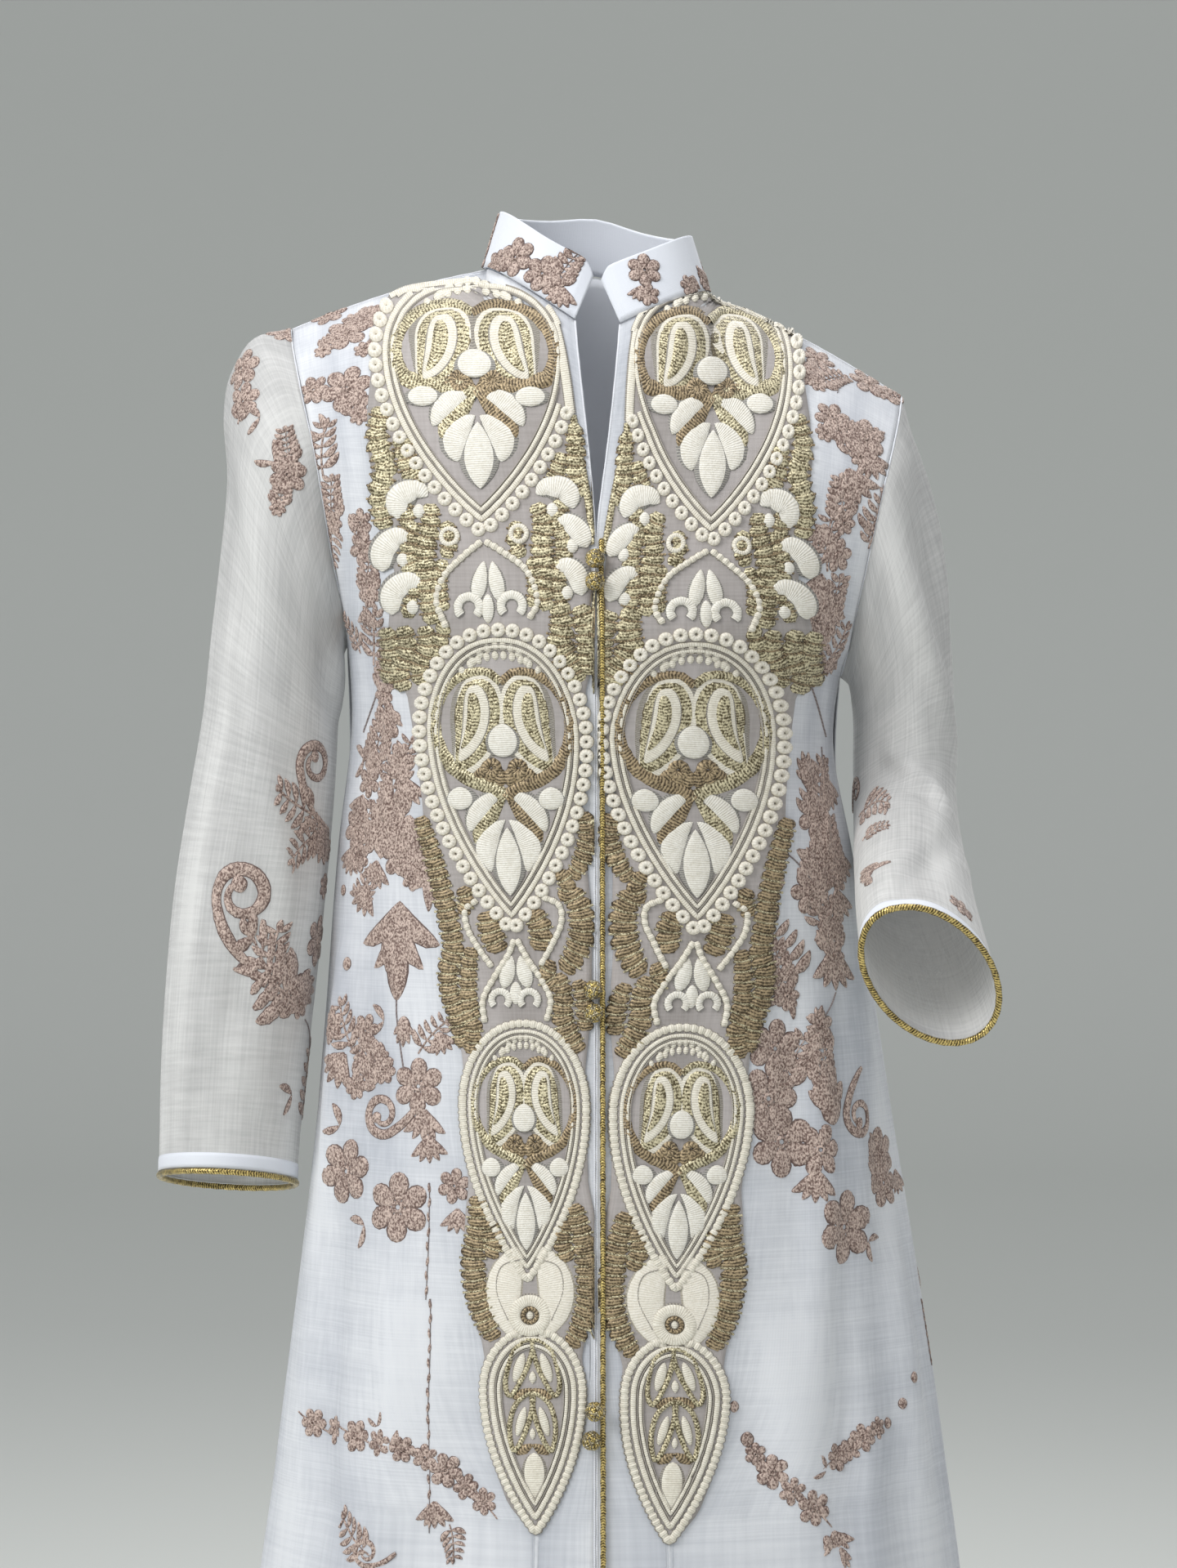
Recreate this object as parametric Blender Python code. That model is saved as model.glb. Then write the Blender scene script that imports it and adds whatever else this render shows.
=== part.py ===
# Abaya: a long open-front robe of sheer white voile, worn and hollow.
#
# Metres, +Z up. The origin is where the wearer's shoulders hold the robe, at
# the middle of the neck's base. The front faces -Y. The wearer's right side is
# at -X and the left side is at +X. Every panel is a grid of points on one
# surface, made into a wall of cloth. What lies on a panel is made from the
# same points, moved out.

import math

import bpy
from mathutils import Vector

# Cloth and gaps
VOILE = 0.0012
COLLAR_WALL = 0.0020
SEAM_GAP = 0.0003
REST_GAP = 0.0003

# Neck and shoulders
NECK_HALF = 0.072
NECK_FRONT = 0.062
NECK_BACK = 0.058
NECK_FRONT_DROP = 0.043
NECK_BACK_RISE = 0.012
NECK_SIDE_HEIGHT = 0.020
SHOULDER_HALF = 0.197
SHOULDER_HEIGHT = -0.032
SHOULDER_BOW = 0.004
COLLAR_HEIGHT = 0.036
COLLAR_LEAN = 0.011
COLLAR_CORNER = 0.014
COLLAR_CORNER_DROP = 0.55
COLLAR_LEVELS = (0.0, 0.34, 0.67, 0.88, 1.0)
COLLAR_CLOSE = 0.009
COLLAR_CLOSE_LENGTH = 0.040

# The wearer's right shoulder is carried higher: height gained for each metre
# to the right, full at the shoulders and gone at TILT_END
TILT = -0.110
TILT_FULL = -0.060
TILT_END = -0.420

# Heights
YOKE = -0.120
UNDERARM = -0.225
UNDERARM_HALF = 0.160
PANEL_END = -0.770
HEM = -1.400
CORD_START = -0.150

# Armhole: half width and depth at the yoke, and how its curve rounds
ARMHOLE_YOKE_HALF = 0.176
ARMHOLE_DEPTH = 0.058
ARMHOLE_DEPTH_ROUND = 0.7
ARMHOLE_HALF_ROUND = 1.3

# Degrees round the body's section that a half panel turns: at the sides, and
# how much less at the yoke, where the armhole cuts it short
SIDE_TURN = 90.0
YOKE_LESS_TURN = 38.0

# How the cloth leaves the top edge and comes down on the yoke: shares of the
# way across, forward and down, and how strongly each end pulls
TOP_LEAVE = (0.30, 1.10, 0.45)
TOP_PULL = 1.05
YOKE_STEP = 0.010

# Grid of a front: columns across, rows down
NECK_COLUMNS = 7
MARGIN_SHARE = 0.03
INNER_SHARE = 0.07
PANEL_FIRST = 2
PANEL_LAST = 10
LAST_COLUMN = 17
YOKE_ROWS = 6
ARMHOLE_ROWS = 12
PANEL_ROWS = 36
HEM_ROWS = 42
BACK_NECK_COLUMNS = 3
BACK_COLUMNS = 9
BACK_ARMHOLE_ROWS = 10
BACK_YOKE_ROWS = 5
BACK_HEM_ROWS = 27

# The body, as worn: height, half widths and depths from the middle
BODY = {
    "z": (-0.060, -0.120, -0.200, -0.270, -0.350, -0.590, -0.810, -1.400),
    "right": (0.182, 0.172, 0.164, 0.158, 0.167, 0.186, 0.211, 0.290),
    "left": (0.182, 0.172, 0.162, 0.153, 0.166, 0.201, 0.230, 0.305),
    "front": (0.078, 0.096, 0.116, 0.108, 0.100, 0.116, 0.130, 0.172),
    "back": (0.072, 0.086, 0.088, 0.078, 0.074, 0.106, 0.122, 0.168),
}

# Each front's edge and applique panel, as distances from the middle
RIGHT_FRONT = {
    "z": (-0.018, -0.060, -0.148, -0.220, -0.400, -0.590, -0.690, -0.765, -1.400),
    "edge": (0.0135, 0.0090, 0.0012, 0.0012, 0.0012, 0.0012, 0.0012, 0.0012, 0.0012),
    "margin": (0.0160, 0.0115, 0.0038, 0.0040, 0.0042, 0.0042, 0.0045, 0.0120, 0.0140),
    "inner": (0.0195, 0.0150, 0.0070, 0.0060, 0.0060, 0.0065, 0.0070, 0.0340, 0.0400),
    "outer": (0.1340, 0.1390, 0.1240, 0.1150, 0.1010, 0.0835, 0.0700, 0.0405, 0.0700),
}
LEFT_FRONT = {
    "z": (-0.018, -0.060, -0.148, -0.220, -0.400, -0.590, -0.690, -0.765, -1.400),
    "edge": (0.0148, 0.0125, 0.0006, 0.0004, 0.0004, 0.0004, 0.0004, 0.0004, 0.0004),
    "margin": (0.0173, 0.0150, 0.0034, 0.0034, 0.0036, 0.0038, 0.0038, 0.0038, 0.0038),
    "inner": (0.0208, 0.0185, 0.0095, 0.0082, 0.0082, 0.0088, 0.0130, 0.0410, 0.0480),
    "outer": (0.1330, 0.1310, 0.1240, 0.1190, 0.1100, 0.0960, 0.0820, 0.0480, 0.0800),
}

# Soft folds below the hips: place round the half body (0 middle, 1 side),
# height where each starts, depth and half width at the hem
FOLD_GROWTH = 0.8
FRONT_FOLDS = {
    "place": (0.34, 0.52, 0.71, 0.90),
    "start": (-0.86, -0.52, -0.62, -0.45),
    "depth": (0.016, 0.022, 0.017, 0.020),
    "width": (0.075, 0.080, 0.070, 0.080),
}
BACK_FOLDS = {
    "place": (0.12, 0.34, 0.57, 0.80),
    "start": (-0.60, -0.48, -0.66, -0.50),
    "depth": (0.018, 0.024, 0.018, 0.022),
    "width": (0.085, 0.090, 0.080, 0.090),
}

# Raised medallions of the applique panels: heights of the top and the tip,
# share of the panel's width, and how much they stand up
MEDALLIONS = {
    "top": (0.010, -0.200, -0.448, -0.634),
    "tip": (-0.150, -0.396, -0.618, -0.768),
    "share": (0.98, 0.98, 0.98, 0.98),
    "rise": (0.0012, 0.0012, 0.0010, 0.0010),
}
MEDALLION_DROP = 0.75
MEDALLION_ROUND = 0.7
MEDALLION_EDGE = 3.0
APPLIQUE_WALL = 0.0012
APPLIQUE_START = 0.22
APPLIQUE_TOP_GAP = 0.0010

# Sleeves: the outer and inner edge seen from the front, the middle's depth,
# the half depth, and how far the sleeve is bent forward
HANGING_SLEEVE = {
    "outer_x": (0.221, 0.237, 0.2410, 0.2385, 0.2430, 0.2490, 0.2540, 0.2640, 0.2720,
                0.2770, 0.2800, 0.2810, 0.2814),
    "outer_z": (-0.041, -0.066, -0.095, -0.132, -0.178, -0.225, -0.270, -0.325, -0.375,
                -0.430, -0.485, -0.530, -0.556),
    "inner_x": (0.1640, 0.1650, 0.1660, 0.1670, 0.1675, 0.1680, 0.1690, 0.1715, 0.1755,
                0.1810, 0.1870, 0.1915, 0.1935),
    "inner_z": (-0.2310, -0.2370, -0.2440, -0.2520, -0.2630, -0.2790, -0.3020, -0.3360,
                -0.3790, -0.4310, -0.4860, -0.5320, -0.5600),
    "middle_y": (0.0, 0.0, 0.0, 0.0, 0.0, 0.0, -0.002, -0.004, -0.006,
                 -0.008, -0.010, -0.010, -0.010),
    "half_depth": (0.058, 0.057, 0.055, 0.053, 0.051, 0.050, 0.050, 0.052, 0.053,
                   0.053, 0.052, 0.050, 0.049),
    "bend": (0, 0, 0, 0, 0, 0, 0, 1, 3, 6, 9, 12, 13),
    "skew": (0, 0, 0, 0, 0, 0, 0, 0, 0, 0, 0, 0, 0),
}
BENT_SLEEVE = {
    "outer_x": (0.2050, 0.2120, 0.2190, 0.2250, 0.2300, 0.2325, 0.2330, 0.2330, 0.2330,
                0.2330, 0.2330, 0.2330, 0.2335, 0.2340),
    "outer_z": (-0.060, -0.085, -0.115, -0.150, -0.190, -0.230, -0.268, -0.302, -0.328,
                -0.348, -0.367, -0.385, -0.402, -0.416),
    "inner_x": (0.1640, 0.1655, 0.1665, 0.1675, 0.1680, 0.1680, 0.1680, 0.1675, 0.1660,
                0.1635, 0.1615, 0.1595, 0.1580, 0.1575),
    "inner_z": (-0.2310, -0.2370, -0.2440, -0.2520, -0.2630, -0.2800, -0.3000, -0.3200,
                -0.3380, -0.3540, -0.3700, -0.3860, -0.4020, -0.4160),
    "middle_y": (0.0, 0.002, 0.005, 0.008, 0.011, 0.013, 0.012, 0.004, -0.016,
                 -0.048, -0.086, -0.125, -0.165, -0.195),
    "half_depth": (0.058, 0.057, 0.055, 0.053, 0.051, 0.050, 0.049, 0.047, 0.045,
                   0.043, 0.042, 0.042, 0.043, 0.044),
    "bend": (0, 0, 0, 0, 0, 4, 14, 32, 50, 61, 66, 68, 69, 70),
    "skew": (0, 0, 0, 0, 0, 0, 0, 0, -0.003, -0.006, -0.009, -0.012, -0.014, -0.015),
}

# The lining lies this far inside the voile below the yoke, and on coarser rows
# and columns of the same grid
LINING_LOOSE = 0.0050
LINING_FRONT_ROWS = (0, 1, 2, 4, 6, 9, 12, 15, 18, 21, 24, 27, 30, 33, 36, 39, 41)
LINING_FRONT_COLUMNS = (0, 2, 4, 6, 7, 9, 11, 13, 15, 17)
LINING_BACK_ROWS = (0, 1, 2, 3, 4, 6, 8, 10, 11, 12, 13, 14, 16, 18, 20, 22, 24, 26)
LINING_BACK_COLUMNS = (0, 2, 4, 6, 8, 10, 12, 14, 16, 18)

# Sleeves: the underarm seam's way out of the armhole, the rings over which a
# sleeve takes its own shape, how softly, and how many rings of it are the cap,
# a solid of its own
UNDERARM_WAY = (0.5, -0.8)
SLEEVE_BLEND_RINGS = 4.0
SLEEVE_BLEND_ROUND = 1.5
SLEEVE_CAP_RINGS = {"right": 4, "left": 0}

# Trims
CORD_RADIUS = 0.0019
PIPING_RADIUS = 0.0021
KNOT_RADIUS = 0.0062
KNOT_PLACES = {
    "name": ("top_upper", "top_lower", "middle_upper", "middle_lower", "low_upper", "low_lower"),
    "x": (-0.0010, -0.0010, -0.0022, -0.0018, -0.0010, -0.0030),
    "z": (-0.1670, -0.1810, -0.4315, -0.4455, -0.6865, -0.7045),
}

# Colours and surfaces: red, green, blue, roughness, metallic
FINISHES = {
    "voile": (0.80, 0.83, 0.89, 0.80, 0.0),
    "sleeve voile": (0.66, 0.66, 0.68, 0.80, 0.0),
    "lining": (0.86, 0.88, 0.93, 0.85, 0.0),
    "applique": (0.72, 0.66, 0.48, 0.60, 0.1),
    "gold": (0.78, 0.58, 0.24, 0.35, 0.9),
}


def clear_scene():
    for old in list(bpy.data.objects):
        bpy.data.objects.remove(old)


def finish(name):
    """The material of one kind of surface."""
    red, green, blue, roughness, metallic = FINISHES[name]
    material = bpy.data.materials.new(name)
    material.use_nodes = True
    shader = material.node_tree.nodes["Principled BSDF"]
    shader.inputs["Base Color"].default_value = (red, green, blue, 1.0)
    shader.inputs["Roughness"].default_value = roughness
    shader.inputs["Metallic"].default_value = metallic
    return material


def ease(value):
    """A soft step from 0 to 1."""
    value = min(1.0, max(0.0, value))
    return value * value * (3.0 - 2.0 * value)


def look_up(places, values, place):
    """A smooth value from a table whose places run down or up."""
    if places[0] > places[-1]:
        places = [-p for p in places]
        place = -place
    if place <= places[0]:
        return values[0]
    if place >= places[-1]:
        return values[-1]
    row = 1
    while places[row] < place:
        row += 1
    before = max(row - 2, 0)
    after = min(row + 1, len(values) - 1)
    span = places[row] - places[row - 1]
    share = (place - places[row - 1]) / span
    slope_in = span * (values[row] - values[before]) / (places[row] - places[before])
    slope_out = span * (values[after] - values[row - 1]) / (places[after] - places[row - 1])
    cube = share ** 3
    square = share ** 2
    return ((2 * cube - 3 * square + 1) * values[row - 1]
            + (cube - 2 * square + share) * slope_in
            + (3 * square - 2 * cube) * values[row]
            + (cube - square) * slope_out)


def lean(point):
    """Carry the wearer's right side higher, as the wearer stands."""
    share = ease((point.z - TILT_END) / (TILT_FULL - TILT_END))
    return Vector((point.x, point.y, point.z + TILT * point.x * share))


def fold_depth(folds, place, height):
    """How far the folds push the cloth out at one place."""
    depth = 0.0
    for middle, start, full, width in zip(folds["place"], folds["start"],
                                          folds["depth"], folds["width"]):
        if height < start:
            grown = ((start - height) / (start - HEM)) ** FOLD_GROWTH
            across = (place - middle) / width
            depth += full * grown * math.exp(-across * across)
    return depth


def row_height(row, yoke_rows, armhole_rows, last_row):
    """Height of a row's middle, from the yoke down to the hem."""
    if row <= armhole_rows:
        return YOKE + (UNDERARM - YOKE) * (row - yoke_rows) / (armhole_rows - yoke_rows)
    if last_row == HEM_ROWS and row <= PANEL_ROWS:
        return UNDERARM + (PANEL_END - UNDERARM) * (row - armhole_rows) / (PANEL_ROWS - armhole_rows)
    if last_row == HEM_ROWS:
        return PANEL_END + (HEM - PANEL_END) * (row - PANEL_ROWS) / (last_row - PANEL_ROWS)
    return UNDERARM + (HEM - UNDERARM) * (row - armhole_rows) / (last_row - armhole_rows)


def edge_half(side, height):
    """Half width and depth where a panel ends, at the armhole or the side."""
    names = "left" if side > 0 else "right"
    half = look_up(BODY["z"], BODY[names], height)
    if height <= UNDERARM:
        return half, 0.0
    share = (height - UNDERARM) / (YOKE - UNDERARM)
    armhole_y = ARMHOLE_DEPTH * math.sin(0.5 * math.pi * min(1.0, share) ** ARMHOLE_DEPTH_ROUND)
    half = UNDERARM_HALF + (ARMHOLE_YOKE_HALF - UNDERARM_HALF) * share ** ARMHOLE_HALF_ROUND
    return half, armhole_y


def section_turn(height):
    """The angle that a half panel turns through at one height."""
    share = (height - UNDERARM) / (YOKE - UNDERARM)
    return math.radians(SIDE_TURN - YOKE_LESS_TURN * ease(share))


def section_point(side, front, height, place, folds=None):
    """A point on the body's level section: place 0 is the middle, 1 the panel's edge."""
    depth = look_up(BODY["z"], BODY["front" if front else "back"], height)
    half, edge_y = edge_half(side, height)
    turn = section_turn(height)
    angle = place * turn
    x = half * math.sin(angle) / math.sin(turn)
    y = depth - (depth - edge_y) * (1.0 - math.cos(angle)) / (1.0 - math.cos(turn))
    if folds:
        push = fold_depth(folds, place, height)
        length = math.hypot(x / half, y / depth) + 1e-9
        x += push * (x / half) / length
        y += push * (y / depth) / length
    return Vector((side * x, -y if front else y, height))


def place_of(side, height, distance):
    """The place round the section whose distance from the middle is given."""
    half, edge_y = edge_half(side, height)
    turn = section_turn(height)
    return math.asin(min(1.0, distance * math.sin(turn) / half)) / turn


def neck_point(side, front, share):
    """The neckline: share 0 at the middle, 1 at the shoulder seam."""
    angle = 0.5 * math.pi * share
    depth = NECK_FRONT if front else NECK_BACK
    rise = -NECK_FRONT_DROP if front else NECK_BACK_RISE
    y = depth * math.cos(angle)
    z = NECK_SIDE_HEIGHT + rise * (1.0 - math.sin(angle))
    return Vector((side * NECK_HALF * math.sin(angle), -y if front else y, z))


def shoulder_point(side, share):
    """The shoulder seam: share 0 at the neck, 1 at the armhole."""
    x = NECK_HALF + (SHOULDER_HALF - NECK_HALF) * share
    bow = SHOULDER_BOW * math.sin(math.pi * share)
    z = NECK_SIDE_HEIGHT + (SHOULDER_HEIGHT - NECK_SIDE_HEIGHT) * share + bow
    return Vector((side * x, 0.0, z))


def front_places(side, height):
    """Places of a front's columns at one height."""
    table = LEFT_FRONT if side > 0 else RIGHT_FRONT
    marks = []
    for name in ("edge", "margin", "inner", "outer"):
        distance = look_up(table["z"], table[name], height)
        marks.append(place_of(side, height, distance))
    edge, margin, inner, outer = marks
    places = [edge, margin]
    panel_columns = PANEL_LAST - PANEL_FIRST
    for column in range(panel_columns + 1):
        places.append(inner + (outer - inner) * column / panel_columns)
    side_columns = LAST_COLUMN - PANEL_LAST
    for column in range(1, side_columns + 1):
        places.append(outer + (1.0 - outer) * column / side_columns)
    return places


def front_top(side):
    """Points of a front's top edge: along the neckline, then the shoulder seam."""
    table = LEFT_FRONT if side > 0 else RIGHT_FRONT
    start = table["edge"][0]
    first = math.asin(start / NECK_HALF) / (0.5 * math.pi)
    shares = [first, first + MARGIN_SHARE, first + INNER_SHARE]
    points = []
    for column in range(3, NECK_COLUMNS + 1):
        part = (column - 2) / (NECK_COLUMNS - 2)
        shares.append(shares[2] + (1.0 - shares[2]) * part)
    for share in shares:
        points.append(neck_point(side, True, share))
    panel_share = (table["outer"][0] - NECK_HALF) / (SHOULDER_HALF - NECK_HALF)
    for column in range(NECK_COLUMNS + 1, PANEL_LAST + 1):
        part = (column - NECK_COLUMNS) / (PANEL_LAST - NECK_COLUMNS)
        points.append(shoulder_point(side, panel_share * part))
    for column in range(PANEL_LAST + 1, LAST_COLUMN + 1):
        part = (column - PANEL_LAST) / (LAST_COLUMN - PANEL_LAST)
        points.append(shoulder_point(side, panel_share + (1.0 - panel_share) * part))
    return points


def back_places(last):
    return [column / last for column in range(last + 1)]


def back_top(side):
    points = []
    for column in range(BACK_NECK_COLUMNS + 1):
        points.append(neck_point(side, False, column / BACK_NECK_COLUMNS))
    for column in range(BACK_NECK_COLUMNS + 1, BACK_COLUMNS + 1):
        part = (column - BACK_NECK_COLUMNS) / (BACK_COLUMNS - BACK_NECK_COLUMNS)
        points.append(shoulder_point(side, part))
    return points


def half_panel(side, front, folds=True):
    """Rows of points of one half of the body, from the top edge to the hem."""
    if front:
        top = front_top(side)
        yoke_rows, armhole_rows, last_row = YOKE_ROWS, ARMHOLE_ROWS, HEM_ROWS
        fold_table = FRONT_FOLDS
    else:
        top = back_top(side)
        yoke_rows, armhole_rows, last_row = BACK_YOKE_ROWS, BACK_ARMHOLE_ROWS, BACK_HEM_ROWS
        fold_table = BACK_FOLDS
    if not folds:
        fold_table = None

    def level_row(height):
        places = front_places(side, height) if front else back_places(BACK_COLUMNS)
        return [section_point(side, front, height, place, fold_table) for place in places]

    yoke = level_row(YOKE)
    below = level_row(YOKE - YOKE_STEP)
    rows = []
    for row in range(yoke_rows):
        share = row / yoke_rows
        points = []
        for start, end, after in zip(top, yoke, below):
            way = end - start
            reach = way.length * TOP_PULL
            across, forward, down = TOP_LEAVE
            leave = Vector((way.x * across, way.y * forward, way.z * down)).normalized() * reach
            arrive = (after - end).normalized() * reach
            cube, square = share ** 3, share ** 2
            points.append((2 * cube - 3 * square + 1) * start
                          + (cube - 2 * square + share) * leave
                          + (3 * square - 2 * cube) * end
                          + (cube - square) * arrive)
        rows.append(points)
    for row in range(yoke_rows, last_row + 1):
        rows.append(level_row(row_height(row, yoke_rows, armhole_rows, last_row)))
    return [[lean(point) for point in points] for points in rows]


def normals_of(rows, outward, flat_edges):
    """Normals of a grid, kept level with the seams named in flat_edges."""
    last_row, last_column = len(rows) - 1, len(rows[0]) - 1
    normals = []
    for r, points in enumerate(rows):
        line = []
        for c in range(last_column + 1):
            across = points[min(c + 1, last_column)] - points[max(c - 1, 0)]
            down = rows[min(r + 1, last_row)][c] - rows[max(r - 1, 0)][c]
            normal = across.cross(down).normalized()
            if normal.dot(outward(points[c])) < 0.0:
                normal = -normal
            if flat_edges(r, c):
                normal.y = 0.0
                normal.normalize()
            line.append(normal)
        normals.append(line)
    return normals


def outward_from_body(point):
    """A rough way out of the body, to tell a surface's outer side."""
    if point.z > YOKE:
        return Vector((point.x / 2, point.y, abs(point.x) / 3 + NECK_HALF / 4))
    return Vector((point.x / 2, point.y, 0.0))


def moved(rows, normals, distance):
    """The grid moved along its normals; distance may be a number or a grid."""
    result = []
    for r, points in enumerate(rows):
        line = []
        for c, point in enumerate(points):
            step = distance[r][c] if isinstance(distance, list) else distance
            line.append(point + normals[r][c] * step)
        result.append(line)
    return result


def wall(name, outer, inner, material, closed=False):
    """A closed wall between two grids, open all round or closed into a tube."""
    rows, columns = len(outer), len(outer[0])
    points = [point for line in outer for point in line]
    points += [point for line in inner for point in line]
    shift = rows * columns
    faces = []
    steps = columns if closed else columns - 1
    for r in range(rows - 1):
        for c in range(steps):
            d = (c + 1) % columns
            a, b = r * columns + c, r * columns + d
            e, f = (r + 1) * columns + d, (r + 1) * columns + c
            faces.append((a, b, e, f))
            faces.append((shift + a, shift + f, shift + e, shift + b))
    border = []
    for c in range(steps):
        d = (c + 1) % columns
        border.append((d, c))
        border.append(((rows - 1) * columns + c, (rows - 1) * columns + d))
    if not closed:
        for r in range(rows - 1):
            border.append((r * columns, (r + 1) * columns))
            border.append(((r + 2) * columns - 1, (r + 1) * columns - 1))
    for a, b in border:
        faces.append((a, b, shift + b, shift + a))
    return solid(name, points, faces, material)


def solid(name, points, faces, material):
    """An object from points and faces, with its faces turned out."""
    mesh = bpy.data.meshes.new(name)
    mesh.from_pydata([tuple(point) for point in points], [], faces)
    mesh.validate()
    volume = 0.0
    for polygon in mesh.polygons:
        corners = [mesh.vertices[i].co for i in polygon.vertices]
        for k in range(1, len(corners) - 1):
            volume += corners[0].dot(corners[k].cross(corners[k + 1]))
    if volume < 0.0:
        mesh.flip_normals()
    mesh.materials.append(material)
    for polygon in mesh.polygons:
        polygon.use_smooth = True
    thing = bpy.data.objects.new(name, mesh)
    bpy.context.scene.collection.objects.link(thing)
    return thing


def tube(name, path, radius, material, sides=6, closed=False):
    """A round cord along a path."""
    count = len(path)
    rings = []
    for i, point in enumerate(path):
        if closed:
            along = path[(i + 1) % count] - path[i - 1]
        else:
            along = path[min(i + 1, count - 1)] - path[max(i - 1, 0)]
        along.normalize()
        aside = along.cross(Vector((0.0, 1.0, 0.0)) if abs(along.y) < 0.9 else Vector((1.0, 0.0, 0.0)))
        aside.normalize()
        upward = along.cross(aside)
        rings.append([point + radius * (math.cos(2 * math.pi * k / sides) * aside
                                        + math.sin(2 * math.pi * k / sides) * upward)
                      for k in range(sides)])
    points = [point for ring in rings for point in ring]
    faces = []
    for i in range(count if closed else count - 1):
        j = (i + 1) % count
        for k in range(sides):
            m = (k + 1) % sides
            faces.append((i * sides + k, i * sides + m, j * sides + m, j * sides + k))
    if not closed:
        faces.append(tuple(reversed(range(sides))))
        faces.append(tuple((count - 1) * sides + k for k in range(sides)))
    return solid(name, points, faces, material)


def ball(name, middle, radius, material, around=10, rows=6):
    """A round knot."""
    points = [middle + Vector((0.0, 0.0, radius))]
    for row in range(1, rows):
        polar = math.pi * row / rows
        for k in range(around):
            turn = 2 * math.pi * k / around
            points.append(middle + radius * Vector((math.sin(polar) * math.cos(turn),
                                                    math.sin(polar) * math.sin(turn),
                                                    math.cos(polar))))
    points.append(middle - Vector((0.0, 0.0, radius)))
    faces = []
    for k in range(around):
        m = (k + 1) % around
        faces.append((0, 1 + k, 1 + m))
        for row in range(rows - 2):
            a, b = 1 + row * around + k, 1 + row * around + m
            faces.append((a, a + around, b + around, b))
        last = 1 + (rows - 2) * around
        faces.append((last + k, len(points) - 1, last + m))
    return solid(name, points, faces, material)


def front_grid(side, folds=True):
    rows = half_panel(side, True, folds)

    def on_seam(r, c):
        return (r == 0 and c >= NECK_COLUMNS) or (c == LAST_COLUMN and r >= ARMHOLE_ROWS)

    normals = normals_of(rows, outward_from_body, on_seam)
    for r, points in enumerate(rows):
        for c in range(len(points)):
            if on_seam(r, c):
                points[c].y = -0.5 * SEAM_GAP
    return rows, normals


def back_grid(folds=True):
    right = half_panel(-1, False, folds)
    left = half_panel(1, False, folds)
    rows = []
    for line_right, line_left in zip(right, left):
        rows.append(list(reversed(line_right)) + line_left[1:])
    last = len(rows[0]) - 1

    def on_seam(r, c):
        from_middle = abs(c - BACK_COLUMNS)
        return (r == 0 and from_middle >= BACK_NECK_COLUMNS) or (c in (0, last) and r >= BACK_ARMHOLE_ROWS)

    normals = normals_of(rows, outward_from_body, on_seam)
    for r, points in enumerate(rows):
        for c in range(len(points)):
            if on_seam(r, c):
                points[c].y = 0.5 * SEAM_GAP
    return rows, normals


def medallion_rise(height, share):
    """How much the medallions raise the applique at one place of the panel."""
    rise = 0.0
    across = abs(2.0 * share - 1.0)
    for top, tip, wide, full in zip(MEDALLIONS["top"], MEDALLIONS["tip"],
                                    MEDALLIONS["share"], MEDALLIONS["rise"]):
        if tip < height < top:
            down = (top - height) / (top - tip)
            half = wide * math.sin(math.pi * down ** MEDALLION_DROP) ** MEDALLION_ROUND
            if across < half:
                rise = max(rise, full * ease(MEDALLION_EDGE * (half - across)))
    return rise


def applique(name, rows, normals, material):
    """The stiff panel on one front, made from the front's points, moved out."""
    middle_rows, middle_normals = [], []
    for r in range(0, PANEL_ROWS + 1):
        line = rows[r][PANEL_FIRST:PANEL_LAST + 1]
        line_normals = normals[r][PANEL_FIRST:PANEL_LAST + 1]
        if r == 0:
            line = [a.lerp(b, APPLIQUE_START)
                    for a, b in zip(line, rows[1][PANEL_FIRST:PANEL_LAST + 1])]
            line_normals = [a.lerp(b, APPLIQUE_START).normalized()
                            for a, b in zip(line_normals, normals[1][PANEL_FIRST:PANEL_LAST + 1])]
        middle_rows.append(line)
        middle_normals.append(line_normals)
    under = VOILE / 2 + REST_GAP
    over, beneath = [], []
    for line in middle_rows:
        last = len(line) - 1
        below = under + (APPLIQUE_TOP_GAP - REST_GAP if not over else 0.0)
        beneath.append([below] * len(line))
        over.append([below + APPLIQUE_WALL + medallion_rise(point.z, c / last)
                     for c, point in enumerate(line)])
    outer = moved(middle_rows, middle_normals, over)
    inner = moved(middle_rows, middle_normals, beneath)
    return wall(name, outer, inner, material)


def lining_grid(rows, normals, row_steps, column_steps):
    """A coarser inner copy of a panel: near the seams at the top, looser below."""
    picked = []
    for r in row_steps:
        line = []
        for c in column_steps:
            point, normal = rows[r][c], normals[r][c]
            loose = ease(r / YOKE_ROWS)
            close = VOILE + REST_GAP
            step = close + (LINING_LOOSE - close) * loose
            line.append((point - normal * step, normal))
        picked.append(line)
    return picked


def lining(name, rows, normals, row_steps, column_steps, material):
    picked = lining_grid(rows, normals, row_steps, column_steps)
    half = VOILE / 2
    outer = [[point + normal * half for point, normal in line] for line in picked]
    inner = [[point - normal * half for point, normal in line] for line in picked]
    return wall(name, outer, inner, material)


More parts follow.
